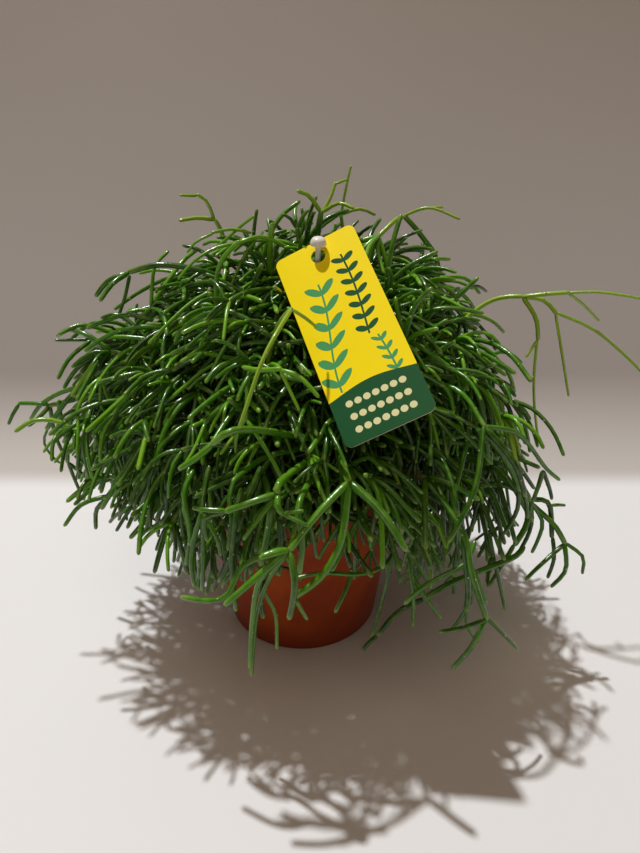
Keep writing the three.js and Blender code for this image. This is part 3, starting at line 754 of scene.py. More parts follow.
def sway_at(height):
    """How far the middle of the mop lies to the right of the pot's at a height."""
    for low, high in zip(SWAY, SWAY[1:]):
        if height < high[0]:
            break
    return low[1] + ramp(height, low[0], high[0]) * (high[1] - low[1])


def swayed(p):
    return (p[0] + sway_at(p[2]), p[1], p[2])


def reach_of(p):
    """How far out a point is in the mop, from 0 at its centre to 1 on its outline, which swells and sinks
    from tuft to tuft."""
    front = frontness(p)
    radius = MOP["radius"] * (1 - MOP["front_narrowing"] * front)
    power = MOP["fullness"] - MOP["front_slope"] * front**2
    height = p[2] - MOP["centre_height"]
    span = MOP["rise"] if height > 0 else MOP["drop"]
    level = math.hypot(p[0] - sway_at(p[2]), p[1])
    turn = math.atan2(p[1], p[0])
    tufts = sum(
        share * math.sin(count * turn + p[2] / pitch + start) for share, count, pitch, start in TUFTS
    )
    return ((level / radius) ** power + (abs(height) / span) ** power) ** (1 / power) / (1 + tufts)


def is_open(p):
    """False in and beside the pot, under the mop's lower edge, and over the face of the label."""
    level = math.hypot(p[0], p[1])
    is_by_pot = level < POT["rim_radius"] + POT_CLEARANCE
    is_in_pot = level < PLANTED_RADIUS + POT_CLEARANCE
    if is_by_pot and not is_in_pot and p[2] < POT["height"] + POT_CLEARANCE:
        return False
    if is_by_pot and p[2] < SOIL["level"] - SOIL["root_depth"]:
        return False
    front_hem = MOP["front_hem_slope"] * level - MOP["front_hem_start"]
    lowest = MOP["lowest_tip"] + frontness(p) ** 4 * front_hem
    if level > POT["rim_radius"] and p[2] < lowest:
        return False
    offset = minus(p, LABEL["centre"])
    return not (
        abs(dot(offset, LABEL_ACROSS)) < LABEL["width"] / 2 + LABEL_MARGIN
        and abs(dot(offset, LABEL_UP)) < LABEL["height"] / 2 + LABEL_MARGIN
        and dot(offset, LABEL_NORMAL) > -LABEL_CLEARANCE
    )


# ---------- growing the stems ----------


def arc(start, direction, length, droop):
    """An arc that leaves along a direction and sags by a share of its length."""
    route = []
    for share in (0, FULL_WIDTH_AT, 1):
        x, y, z = plus(start, direction, length * share)
        route.append((x, y, z - droop * length * share**2))
    return route


def bent(start, direction, length, drift):
    """A stem that turns steadily from its first direction towards a drift."""
    points = [start]
    for turned, step in BENDS:
        points.append(plus(points[-1], unit(plus(direction, drift, turned)), length * step))
    return points


def bezier(t, *corners):
    """A point of a cubic curve."""
    k = 1 - t
    weights = (k * k * k, 3 * k * k * t, 3 * k * t * t, t * t * t)
    return tuple(sum(w * c[axis] for w, c in zip(weights, corners)) for axis in range(3))


def rise(foot, target, arrival):
    """The way out of the soil: upright in the soil, then a bend that reaches a point along a direction."""
    soil = (foot[0], foot[1], SOIL["level"] + RISE["clear_of_soil"])
    share = RISE["share"] * distance(soil, target)
    upright = plus(soil, (0, 0, 1), min(RISE["upright"], share))
    arriving = plus(target, arrival, -min(RISE["arriving"], share))
    root = (foot[0], foot[1], SOIL["level"] - SOIL["root_depth"])
    return [root, soil] + [bezier(t, soil, upright, arriving, target) for t in RISE["bends"]] + [target]


def bearing(polar, turn):
    """A direction by its angle from straight up and its turn about the upright."""
    level = math.sin(polar)
    return (level * math.cos(turn), level * math.sin(turn), math.cos(polar))


def tilted(direction, tilt, turn):
    """A direction tilted away from another one, turned by a share of a full turn about it."""
    helper = (0.0, 0.0, 1.0) if abs(direction[2]) < 0.9 else (1.0, 0.0, 0.0)
    side = unit(cross(helper, direction))
    other = cross(direction, side)
    angle = 2 * math.pi * turn
    ahead = times(direction, math.cos(tilt))
    ahead = plus(ahead, side, math.sin(tilt) * math.cos(angle))
    return plus(ahead, other, math.sin(tilt) * math.sin(angle))


def share_at(p):
    """How many of the finer shoots that could end at a point do grow."""
    rim = ramp(reach_of(p), *AIRY_RIM["reach"]) * ramp(p[2], *AIRY_RIM["height"])
    share = 1 - (1 - AIRY_RIM["share"]) * rim
    share *= 1 - (1 - AIRY_HEM["share"]) * ramp(p[2], *AIRY_HEM["height"])
    for centre, radius, least in AIRY_PLACES:
        share *= least + (1 - least) * ramp(distance(p, centre), AIRY_CORE * radius, radius)
    return share


def has_room(room, route, radius, parent, clearance=STEM_CLEARANCE, reach=JOINT_REACH):
    samples = samples_of(route)
    return all(map(is_open, samples)) and room.is_clear(samples, radius * FACET, parent, clearance, reach)


def plant(room, spray, parent, order, route, radius, generation=0):
    """Adds a stem to its spray and to the room."""
    stem = Stem(parent, order, route, radius, generation)
    if parent:
        parent.children += 1
    spray.stems.append(stem)
    room.take(samples_of(route), radius * FACET, stem)
    return stem


def grow_whorl(room, random, spray, parent, kind, generation=0, **space):
    """A whorl at the end of a stem, without what has no room. One of its stems goes nearly straight on,
    and all lean down the more, the further out they are."""
    joint = parent.route[-1]
    depth = reach_of(joint)
    if depth > OUTERMOST_JOINT:
        return []
    tries = FINE_TRIES if generation else TRIES
    progress = FINE_PROGRESS if generation else PROGRESS
    ahead = end_direction(parent.route)
    outness = math.hypot(joint[0], joint[1]) / MOP["radius"]
    droop = kind["droop"] * (1 + OUTER_DROOP * outness**2)
    phase = random()
    grown = []
    for index in range(kind["count"]):
        for attempt in range(tries):
            turn = phase + (index + TURN_JITTER * (random() - 0.5)) / kind["count"]
            tilt = between(random, SIDE_TILT if index else LEADER_TILT)
            way = unit(plus(tilted(ahead, tilt, turn), (0, 0, -1), kind["hang"] * outness))
            length = between(random, kind["length"]) * (1 - ((1 - LAST_TRY_LENGTH) * attempt) / tries)
            if generation:
                drift = (SWING * (random() - 0.5), SWING * (random() - 0.5), -droop)
                route = bent(joint, way, length, drift)
                limit = FINE_OUTLINE + FINE_STRAGGLE * random() ** 3
                limit += FINE_CROWN["extra"] * ramp(joint[2], *FINE_CROWN["height"])
            else:
                route = arc(joint, way, length, droop)
                limit = OUTLINE + STRAGGLE * random() ** 3
            if not depth + progress < reach_of(route[-1]) < limit:
                continue
            if generation and random() > share_at(route[-1]):
                break
            radius = kind["radius"]
            if has_room(room, route, radius, parent, **space):
                grown.append(plant(room, spray, parent, parent.order + 1, route, radius, generation))
                break
    return grown


def planting_places(count):
    """Feet on the soil in a sunflower's spiral, nearest the middle first."""
    places = []
    for i in range(count):
        level = PLANTED_RADIUS * math.sqrt((i + 0.5) / count)
        places.append((level * math.cos(i * GOLDEN_ANGLE), level * math.sin(i * GOLDEN_ANGLE), 0.0))
    return places


def as_route(points):
    """The whole numbers of a table as points of floats."""
    return [tuple(map(float, p)) for p in points]


def plant_stray(room, free, name, plan):
    """A listed spray. It rises from the nearest free place that has a clear way to its first point."""
    radius, _, points = plan[0]
    points = as_route(points)
    wish = times((points[0][0], points[0][1], 0.0), STRAY_FOOT)
    wish = times(unit(wish), min(PLANTED_RADIUS, length_of(wish)))
    ahead = unit(minus(points[1], points[0]))
    free.sort(key=lambda place: distance(place, wish))
    foot = next(f for f in free if has_room(room, rise(f, points[0], ahead), PLANTED_STEM, None))
    free.remove(foot)
    spray = Spray(name, foot)
    way = rise(foot, points[0], ahead)
    knee = plant(room, spray, None, 0, way[:-1], PLANTED_STEM)
    plant(room, spray, knee, STRAY_ORDER, [way[-2]] + points, radius)
    for radius, source, points in plan[1:]:
        parent = spray.stems[source + 1]
        plant(room, spray, parent, STRAY_ORDER, [parent.route[-1]] + as_route(points), radius)
    return spray


def start_spray(room, random, foot, name, radius, tries, generation=0, **space):
    """The first stem of a spray of the mop. It points the way that its foot lies from the pot's middle."""
    share = (length_of(foot) / PLANTED_RADIUS) ** 2
    for attempt in range(tries):
        wander = WANDER["least"] + (WANDER["growth"] * attempt) / TRIES
        polar = math.acos(1 - (1 - math.cos(LOWEST_SPRAY)) * share) + wander * (random() - 0.5)
        turn = math.atan2(foot[1], foot[0]) + 2 * wander * (random() - 0.5)
        outward = bearing(polar, turn)
        edge = 1 / reach_of(swayed(plus(MIDDLE, outward)))
        depth = WHORL_DEPTH["least"] + WHORL_DEPTH["spread"] * random() + WHORL_DEPTH["outer_extra"] * share
        whorl = swayed(plus(MIDDLE, outward, edge * depth))
        route = rise(foot, whorl, bearing(polar * OVERARCH, turn))
        if has_room(room, route, radius, None, **space):
            spray = Spray(name, foot)
            plant(room, spray, None, 0, route, radius, generation)
            return [spray]
    return []


def hole_centre():
    return plus(LABEL["centre"], LABEL_UP, LABEL["height"] / 2 - LABEL["hole_from_top"])


def stake_line():
    """The stake's centreline: the card hangs on it by the upper edge of its hole."""
    foot = (*STAKE["foot"], SOIL["level"] - STAKE["depth"])
    slack = LABEL["hole_radius"] - STAKE["radius"] - GAP * 2
    passing = plus(hole_centre(), LABEL_UP, slack * STAKE["hang"])
    return foot, plus(passing, unit(minus(passing, foot)), STAKE["head_standoff"])


def grow_solid_sprays(room, random):
    """The sprays that the solids have, stem for stem."""
    room.take(samples_of(stake_line()), STAKE["radius"] + STAKE["elbow_room"], None)
    stake_foot = (*STAKE["foot"], 0)
    free = [p for p in planting_places(SPRAYS) if distance(p, stake_foot) > STAKE["bare_soil"]]
    strays = [plant_stray(room, free, name, plan) for name, plan in STRAYS.items()]
    free.sort(key=length_of)
    mop = []
    for i, foot in enumerate(free):
        mop += start_spray(room, random, foot, f"spray_{i + 1:02d}", PLANTED_STEM, 4 * TRIES)
    tips = [(spray, spray.stems[0]) for spray in strays + mop]
    for share in WHORL_SHARE:
        grown = []
        for spray, stem in tips:
            if random() < share:
                whorl = grow_whorl(room, random, spray, stem, WHORLS[stem.order])
                grown += [(spray, child) for child in whorl]
        tips = grown
    return strays + [spray for spray in mop if len(spray.stems) > 1]


def plant_shoots(room, spray):
    """The finer shoots that have a place of their own."""
    for bearer, youth, plan in SHOOTS.get(spray.name, ()):
        group = []
        for radius, earlier, points in plan:
            parent = None
            if earlier is not None:
                parent = group[earlier]
            elif bearer is not None:
                parent = spray.stems[bearer]
            start = [parent.route[-1]] if parent else []
            shoot = plant(room, spray, parent, STRAY_ORDER, start + as_route(points), radius, 1)
            shoot.youth = youth
            group.append(shoot)


def grow_fillers(room, random, sprays):
    """Finer sprays that rise between the others."""
    feet = [spray.foot for spray in sprays]
    fillers = []
    for foot in planting_places(FILLER_PLACES):
        if min(distance(foot, other) for other in feet) > FILLER_SPACING:
            feet.append(foot)
            fillers += start_spray(room, random, foot, "", FILLER_RADIUS, FILLER_TRIES, 1, **FINE_SPACE)
    return fillers


def grow_plant(generations):
    """Every spray with its finer shoots. A filler's stems go to the spray whose first whorl is nearest."""
    random = random_from(SEED)
    room = Room()
    sprays = grow_solid_sprays(room, random)
    for spray in sprays:
        plant_shoots(room, spray)
    fillers = grow_fillers(room, random, sprays)
    for number, kind in enumerate(FINE_WHORLS[:generations]):
        for spray in sprays + fillers:
            for stem in list(spray.stems):
                if stem.order < STRAY_ORDER or spray.name not in LEFT_BARE:
                    grow_whorl(room, random, spray, stem, kind, number + 1, **FINE_SPACE)
    for filler in fillers:
        whorl = filler.stems[0].route[-1]
        nearest = min(sprays, key=lambda spray: distance(spray.stems[0].route[-1], whorl))
        nearest.stems += filler.stems
    return sprays


# ---------- node trees written as expressions ----------


class Wire:
    """A node's output. Python's operators on it add Math nodes."""

    def __init__(self, graph, node, output=0):
        self.graph = graph
        self.node = node
        self.socket = node.outputs[output] if node.outputs else None

    def output(self, name):
        return Wire(self.graph, self.node, name)

    def maths(self, operation, *values):
        return self.graph.node("ShaderNodeMath", {"operation": operation}, dict(enumerate(values)))

    def __add__(self, other):
        return self.maths("ADD", self, other)

    def __sub__(self, other):
        return self.maths("SUBTRACT", self, other)

    def __mul__(self, other):
        return self.maths("MULTIPLY", self, other)

    def __truediv__(self, other):
        return self.maths("DIVIDE", self, other)

    def __pow__(self, other):
        return self.maths("POWER", self, other)

    def __lt__(self, other):
        return self.maths("LESS_THAN", self, other)

    def __gt__(self, other):
        return self.maths("GREATER_THAN", self, other)

    def __rsub__(self, other):
        return self.maths("SUBTRACT", other, self)

    def __rtruediv__(self, other):
        return self.maths("DIVIDE", other, self)

    def __abs__(self):
        return self.maths("ABSOLUTE", self)

    __radd__ = __add__
    __rmul__ = __mul__

    def least(self, other):
        return self.maths("MINIMUM", self, other)

    def most(self, other):
        return self.maths("MAXIMUM", self, other)

    def fraction(self):
        return self.maths("FRACT", self)

    def sine(self):
        return self.maths("SINE", self)

    def cosine(self):
        return self.maths("COSINE", self)


class Graph:
    """A node tree that is built by one method."""

    def __init__(self, tree):
        self.tree = tree
        self.tree.nodes.clear()

    def node(self, kind, settings=None, inputs=None, output=0):
        """Adds a node: its settings first, then the values or links of its sockets."""
        node = self.tree.nodes.new(kind)
        for key, value in (settings or {}).items():
            setattr(node, key, value)
        for key, value in (inputs or {}).items():
            for one in value if isinstance(value, list) else [value]:
                if isinstance(one, Wire):
                    self.tree.links.new(one.socket, node.inputs[key])
                else:
                    node.inputs[key].default_value = one
        return Wire(self, node, output)

    def smooth(self, value, low, high):
        """0 below low, 1 above high, and a smooth step between them."""
        settings = {"interpolation_type": "SMOOTHSTEP"}
        return self.node("ShaderNodeMapRange", settings, {0: value, 1: low, 2: high})

    def split(self, vector, output="X"):
        """One number of a vector. The others are on other outputs of the same node."""
        return self.node("ShaderNodeSeparateXYZ", inputs={0: vector}, output=output)


class Finish(Graph):
    """A material with one Principled shader."""

    def __init__(self, name, **constants):
        self.material = bpy.data.materials.new(name)
        self.material.use_nodes = True
        super().__init__(self.material.node_tree)
        inputs = {key.replace("_", " "): value for key, value in constants.items()}
        self.shader = self.node("ShaderNodeBsdfPrincipled", inputs=inputs)
        self.node("ShaderNodeOutputMaterial", inputs={"Surface": self.shader})

    def set(self, name, wire):
        self.tree.links.new(wire.socket, self.shader.node.inputs[name])

    def attribute(self, name):
        return self.node("ShaderNodeAttribute", {"attribute_name": name}, output="Fac")

    def place(self):
        """The place on the piece, in metres."""
        return self.node("ShaderNodeTexCoord", output="Object")

    def stretched(self, vector, scale):
        return self.node("ShaderNodeMapping", inputs={"Vector": vector, "Scale": scale})

    def grain(self, vector, scale, detail=2.0, roughness=0.5):
        """Noise from 0 to 1, with scale in waves to the metre."""
        inputs = {"Vector": vector, "Scale": scale, "Detail": detail, "Roughness": roughness}
        return self.node("ShaderNodeTexNoise", inputs=inputs)

    def mix(self, factor, first, second):
        """Between two colours, which may be wires or plain colours."""
        sockets = {0: factor, 6: first, 7: second}
        inputs = {k: v if isinstance(v, (Wire, float)) else (*v, 1) for k, v in sockets.items()}
        return self.node("ShaderNodeMix", {"data_type": "RGBA"}, inputs, output=2)

    def bump(self, height, depth, strength=1.0):
        inputs = {"Height": height, "Distance": depth, "Strength": strength}
        self.set("Normal", self.node("ShaderNodeBump", inputs=inputs))


# ---------- pieces ----------


def piece_from(name, mesh, materials, slot, *nodes):
    """A finished piece: on the root body, in place of its solids."""
    piece = bpy.data.objects.new(name, mesh)
    bpy.context.scene.collection.objects.link(piece)
    for material in materials:
        mesh.materials.append(material)
    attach(piece, "root")
    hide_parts(*nodes)
    return piece


def lathe(name, profile, sides):
    """A closed surface of revolution about Z from a profile of (radius, height), which starts and ends
    on the axis."""
    mesh = bmesh.new()
    rings = []
    for radius, height in profile:
        count = sides if radius > 0 else 1
        angles = [2 * math.pi * i / sides for i in range(count)]
        rings.append([mesh.verts.new((radius * math.cos(a), radius * math.sin(a), height)) for a in angles])
    for low, high in zip(rings, rings[1:]):
        for i in range(sides):
            places = ((low, i), (low, i + 1), (high, i + 1), (high, i))
            corners = [ring[place % len(ring)] for ring, place in places]
            mesh.faces.new(list(dict.fromkeys(corners)))
    bmesh.ops.recalc_face_normals(mesh, faces=mesh.faces)
    made = bpy.data.meshes.new(name)
    mesh.to_mesh(made)
    mesh.free()
    return made


def rounded(corners, steps=4):
    """A profile of (radius, height) from corners that also have the radius of the arc that rounds them."""
    profile = []
    for i, (radius, height, softness) in enumerate(corners):
        if not softness:
            profile.append((radius, height))
            continue
        here = Vector((radius, height))
        before = (Vector(corners[i - 1][:2]) - here).normalized() * softness
        after = (Vector(corners[i + 1][:2]) - here).normalized() * softness
        for s in range(steps + 1):
            t = s / steps
            profile.append(tuple(here + before * (1 - t) ** 2 + after * t**2))
    return profile


def in_metres(profile):
    return [(r * MM, z * MM) for r, z in profile]


def along_line(foot, head):
    """A matrix that puts +Z along the line from one point to another, starting at the first."""
    turn = Vector((0, 0, 1)).rotation_difference(Vector(minus(head, foot)))
    return Matrix.Translation(Vector(foot) * MM) @ turn.to_matrix().to_4x4()


def shade(mesh, angle=None):
    """Smooth faces, with the edges sharper than an angle left sharp."""
    mesh.polygons.foreach_set("use_smooth", [True] * len(mesh.polygons))
    if angle:
        mesh.set_sharp_from_angle(angle=angle)


def evaluated_mesh(source, name):
    """What an object's modifiers make, as a plain mesh."""
    bpy.context.view_layer.update()
    ready = source.evaluated_get(bpy.context.evaluated_depsgraph_get())
    made = bpy.data.meshes.new_from_object(ready)
    made.name = name
    return made


def apply_tree(mesh, tree, inputs, name):
    """Runs a Geometry Nodes tree on a mesh and returns the result as a plain mesh."""
    carrier = bpy.data.objects.new(name + "_source", mesh)
    bpy.context.scene.collection.objects.link(carrier)
    modifier = carrier.modifiers.new("Tree", "NODES")
    modifier.node_group = tree
    for item in tree.interface.items_tree:
        if item.item_type == "SOCKET" and item.name in inputs:
            modifier[item.identifier] = inputs[item.name]
    made = evaluated_mesh(carrier, name)
    carrier.modifiers.clear()
    bpy.data.objects.remove(carrier)
    return made


def new_tree(name, inputs):
    """A Geometry Nodes tree with named inputs, its graph, and the wires of its inputs."""
    tree = bpy.data.node_groups.new(name, "GeometryNodeTree")
    kinds = {"Geometry": "NodeSocketGeometry", **inputs}
    for label, kind in kinds.items():
        tree.interface.new_socket(label, in_out="INPUT", socket_type=kind)
    tree.interface.new_socket("Geometry", in_out="OUTPUT", socket_type="NodeSocketGeometry")
    graph = Graph(tree)
    group = graph.node("NodeGroupInput")
    return tree, graph, {label: group.output(label) for label in kinds}


# ---------- the stems ----------


def smooth_line(points, steps=6):
    """Points along a smooth curve through a route, as an array."""
    p = np.array(points, float)
    p = np.vstack([2 * p[0] - p[1], p, 2 * p[-1] - p[-2]])
    line = [p[1]]
    for i in range(1, len(p) - 2):
        t = np.linspace(0, 1, steps + 1)[1:, None]
        a, b, c, d = p[i - 1 : i + 3]
        bend = (2 * a - 5 * b + 4 * c - d) * t**2 + (3 * b - a - 3 * c + d) * t**3
        line.extend(b + 0.5 * ((c - a) * t + bend))
    return np.array(line)


# The rings at a stem's joint and at its tip: how far from the end, and how wide, in radii of the stem.
JOINT_PLACES, JOINT_WIDTHS = (0, 0.8), (0.5, 0.88)
TIP_PLACES, TIP_WIDTHS = (0.85, 0.3, 0), (0.92, 0.64, 0.2)
BODY = {"from_joint": 2.4, "from_tip": 1.9, "width": 1.04, "tip_width": 0.88, "unevenness": 0.05}
# The cushions: their shape, in radii of a cushion, how far out they sit, in radii of the stem, and the
# stretch of the stem that has them.
AREOLES = {"sides": 6, "top": 0.45, "height": 0.55, "seat": 0.97, "start": 0.08, "end": 0.95}


def stem_rings(stem, spacing, random):
    """Where a stem has its rings, and their radii: narrow at the joint, and closed by a round tip."""
    points = list(stem.route)
    if stem.parent:
        back = end_direction(stem.parent.route)
        side = minus(points[1], points[0])
        side = times(unit(plus(side, back, -dot(side, back))), ROOT_OFFSET)
        points[0] = plus(plus(points[0], back, -ROOT_SINK), side)
    line = smooth_line(points)
    if stem.parent:
        side = unit(cross(minus(points[-1], points[0]), (random() - 0.5, random() - 0.5, random() - 0.5)))
        swing = BOW * chance(random, BOW_SHARE) * distance(points[-1], points[0])
        line += np.outer(swing * np.sin(np.linspace(0, math.pi, len(line))), side)
    run = np.concatenate([[0], np.cumsum(np.linalg.norm(np.diff(line, axis=0), axis=1))])
    length = run[-1]
    radius = stem.radius
    count = max(2, math.ceil(length / spacing))
    body = np.linspace(BODY["from_joint"] * radius, length - BODY["from_tip"] * radius, count)
    joint, tip = radius * np.array(JOINT_PLACES), length - radius * np.array(TIP_PLACES)
    stations = np.concatenate([joint, body, tip])
    taper = 1 if stem.children else BODY["tip_width"]
    middle = np.linspace(BODY["width"], taper, count)
    middle += BODY["unevenness"] * (np.array([random() for _ in body]) - 0.5)
    widths = np.concatenate([JOINT_WIDTHS, middle, taper * np.array(TIP_WIDTHS)])
    place = np.stack([np.interp(stations, run, line[:, axis]) for axis in range(3)], axis=1)
    return place, widths * radius, stations / length


def youth_of(stem, spray, reach, random):
    """From 0 on a grown stem to 1 on new growth."""
    is_placed = stem.order >= STRAY_ORDER
    is_young = spray.name in YOUNG_SPRAYS and is_placed and stem.radius < YOUNG_RADIUS
    youth = chance(random, YOUTH["young"]) if is_young else 0
    if stem.generation:
        youth *= FINE_YOUTH
    if not youth and not stem.children and reach > OUTER_YOUTH["reach"]:
        youth = OUTER_YOUTH["most"] * random() ** OUTER_YOUTH["rarity"]
    if spray.name == FRESH_SPRAY and is_placed and not stem.generation:
        youth = chance(random, YOUTH["fresh"]) * (THICK_YOUTH if stem.radius > FRESH_RADIUS else 1)
    if stem.youth is not None:
        youth = stem.youth * chance(random, YOUTH["placed"])
    return youth


def stem_lines(spray, settings, random):
    """A mesh of edges along every stem of a spray, with what the tree and the skin need to know."""
    places, radii, shares, tints_and_inner_shade, ages, edges = [], [], [], [], [], []
    for stem in spray.stems:
        place, radius, share = stem_rings(stem, settings.ring_spacing / MM, random)
        start = sum(map(len, places))
        edges += [(start + i, start + i + 1) for i in range(len(place) - 1)]
        places.append(place)
        radii.append(radius)
        shares.append(share)
        reach = reach_of(stem.route[-1])
        # Painted shade: a random tint that stays dark on stems ending in the mop's inside, where they are
        # also older.
        tints_and_inner_shade.append(np.full(len(place), random() * ramp(reach, *INNER_SHADE_REACH)))
        wood = 1.0 if stem.order == 0 else 0.0
        ages.append(np.full(len(place), youth_of(stem, spray, reach, random) - wood))
    mesh = bpy.data.meshes.new(spray.name + "_lines")
    mesh.from_pydata((np.concatenate(places) * MM).tolist(), edges, [])
    columns = {"radius": np.concatenate(radii) * MM, "along": shares, "tint": tints_and_inner_shade, "youth": ages}
    for label, values in columns.items():
        values = np.concatenate(values) if isinstance(values, list) else values
        mesh.attributes.new(label, "FLOAT", "POINT").data.foreach_set("value", values.astype(np.float32))
    return mesh


def stem_tree():
    """Round stems along lines, with a spiral of small cushions on them."""
    inputs = {
        "Sides": "NodeSocketInt",
        "Thickness": "NodeSocketFloat",
        "Areole Spacing": "NodeSocketFloat",
        "Areole Radius": "NodeSocketFloat",
        "Spiral Turn": "NodeSocketFloat",
        "Skin": "NodeSocketMaterial",
        "Cushion": "NodeSocketMaterial",
    }
    tree, graph, given = new_tree("stems", inputs)
    node = graph.node

    def named(label):
        return node("GeometryNodeInputNamedAttribute", {"data_type": "FLOAT"}, {"Name": label})

    lines = node("GeometryNodeMeshToCurve", inputs={"Mesh": given["Geometry"]})
    radius = named("radius") * given["Thickness"]
    outline = node("GeometryNodeCurvePrimitiveCircle", inputs={"Resolution": given["Sides"], "Radius": 1.0})
    tubes = node(
        "GeometryNodeCurveToMesh",
        inputs={"Curve": lines, "Profile Curve": outline, "Scale": radius, "Fill Caps": True},
    )
    dots = node(
        "GeometryNodeCurveToPoints",
        {"mode": "LENGTH"},
        {"Curve": lines, "Length": given["Areole Spacing"]},
    )
    index = node("GeometryNodeInputIndex")
    turn = node(
        "FunctionNodeAxisAngleToRotation",
        inputs={"Axis": (0, 0, 1), "Angle": index * given["Spiral Turn"]},
    )
    rotation = node(
        "FunctionNodeRotateRotation",
        {"rotation_space": "LOCAL"},
        {"Rotation": dots.output("Rotation"), "Rotate By": turn},
    )
    outward = node("FunctionNodeRotateVector", inputs={"Vector": (1, 0, 0), "Rotation": rotation})
    depth = radius * AREOLES["seat"]
    offset = node("ShaderNodeVectorMath", {"operation": "SCALE"}, {"Vector": outward, "Scale": depth})
    is_on_body = (named("along") > AREOLES["start"]).least(named("along") < AREOLES["end"])
    seated = node("GeometryNodeSetPosition", inputs={"Geometry": dots, "Offset": offset})
    cushion = node(
        "GeometryNodeMeshCone",
        inputs={
            "Vertices": AREOLES["sides"],
            "Radius Top": given["Areole Radius"] * AREOLES["top"],
            "Radius Bottom": given["Areole Radius"],
            "Depth": given["Areole Radius"] * AREOLES["height"],
        },
    )
    marked = node(
        "GeometryNodeStoreNamedAttribute",
        {"data_type": "FLOAT", "domain": "FACE"},
        {"Geometry": cushion, "Name": "cushion", "Value": 1.0},
    )
    upward = node("FunctionNodeAlignRotationToVector", {"axis": "Z"}, {"Vector": outward})
    cushions = node(
        "GeometryNodeInstanceOnPoints",
        inputs={"Points": seated, "Selection": is_on_body, "Instance": marked, "Rotation": upward},
    )
    joined = node("GeometryNodeJoinGeometry", inputs={0: [cushions, tubes]})
    smooth = node("GeometryNodeSetShadeSmooth", inputs={"Geometry": joined})
    real = node("GeometryNodeRealizeInstances", inputs={"Geometry": smooth})
    skinned = node("GeometryNodeSetMaterial", inputs={"Geometry": real, "Material": given["Skin"]})
    is_cushion = named("cushion") > 0.5
    done = node(
        "GeometryNodeSetMaterial",
        inputs={"Geometry": skinned, "Selection": is_cushion, "Material": given["Cushion"]},
    )
    node("NodeGroupOutput", inputs={"Geometry": done})
    return tree


def skin_finish(settings):
    """Waxy green skin: darker and woody low down, paler on new growth and at the rounded tips, and painted
    shade that darkens it towards the mop's inside.
    """
    finish = Finish("stem_skin", Roughness=0.3, Specular_IOR_Level=0.5)
    place = finish.place()
    tint, youth, along = (finish.attribute(label) for label in ("tint", "youth", "along"))
    mottle = finish.grain(place, 260.0, 3.0)
    blotch = finish.grain(place, 45.0, 2.0)
    # Painted shade: the tint is low on stems in the mop's inside, so these take the dark green.
    lightness = (tint * 0.75 + blotch * 0.5 - 0.1).most(0.0).least(1.0)
    green = finish.mix(lightness, settings.dark_green, settings.full_green)
    green = finish.mix(finish.smooth(youth, 0.0, 0.35), green, settings.fresh_green)
    green = finish.mix(finish.smooth(youth, 0.3, 1.0), green, settings.young_green)
    tip = finish.smooth(along, 0.86, 1.0) * 0.55
    green = finish.mix(tip, green, settings.tip_green)
    green = finish.mix(finish.smooth(mottle, 0.35, 0.75) * 0.22, green, settings.tip_green)
    woody = finish.smooth(0 - youth + (mottle - 0.5) * 0.8, 0.4, 1.1) * 0.8
    finish.set("Base Color", finish.mix(woody, green, settings.bark))
    finish.set("Roughness", 0.12 + mottle * 0.18 + woody * 0.3)
    finish.bump(finish.grain(place, 900.0, 2.0) + mottle * 1.5, 0.00012, 0.6)
    return finish.material


def cushion_finish(settings):
    """The felt of an areole."""
    finish = Finish("areole_felt", Roughness=0.9)
    fluff = finish.grain(finish.place(), 3000.0, 2.0)
    finish.set("Base Color", finish.mix(fluff * 0.5, settings.areole, settings.full_green))
    finish.bump(fluff, 0.0001)
    return finish.material


class CACTUS_OT_grow_sprays(bpy.types.Operator):
    """Grow every spray of stems in place of its solid"""

    bl_idname = "cactus.grow_sprays"
    bl_label = "Grow the sprays"

    def execute(self, context):
        settings = context.scene.cactus_plant
        tree = stem_tree()
        inputs = {
            "Sides": settings.sides,
            "Thickness": settings.thickness,
            "Areole Spacing": settings.areole_spacing,
            "Areole Radius": settings.areole_radius,
            "Spiral Turn": GOLDEN_ANGLE,
            "Skin": skin_finish(settings),
            "Cushion": cushion_finish(settings),
        }
        random = random_from(SEED + 1)
        for spray in grow_plant(settings.fine_generations):
            name = spray.name + "_stems"
            mesh = apply_tree(stem_lines(spray, settings, random), tree, inputs, name)
            slot = "young_stem" if spray.name in YOUNG_SPRAYS else "green_stem"
            piece_from(name, mesh, [], slot, spray.name)
        return {"FINISHED"}


# ---------- the pot ----------


def inner_radius_at(z):
    slope = (POT["wall_top_radius"] - POT["base_radius"]) / (POT["height"] - POT["rim_height"])
    return POT["base_radius"] + slope * z - POT["wall"]


def pot_profile():
    """The pot's wall with a rolled rim band, a foot ring and a flat pad, from the axis to the axis."""
    height, wall = POT["height"], POT["wall"]
    rim_foot = height - POT["rim_height"]
    floor = POT["recess"] + wall
    pad, foot, recess = POT["pad_radius"], POT["foot_radius"], POT["recess"]
    base, rim = POT["base_radius"], POT["rim_radius"]
    corners = [
        (0, 0, 0),
        (pad, 0, 0.6),
        (pad + recess, recess, 0),
        (foot - recess, recess, 0),
        (foot, 0, 0.6),
        (base - 1, 0, 0.5),
        (base, 1, 0.6),
        (POT["wall_top_radius"], rim_foot, 0.8),
        (rim - 1.3, rim_foot + 0.8, 0.7),
        (rim, height - 0.8, 0.8),
        (rim - 0.8, height, 0.4),
        (rim - wall - 0.6, height, 0.5),
        (inner_radius_at(rim_foot), rim_foot - 1, 0),
        (inner_radius_at(floor), floor, 2.5),
        (0, floor, 0),
    ]
    return rounded(corners)


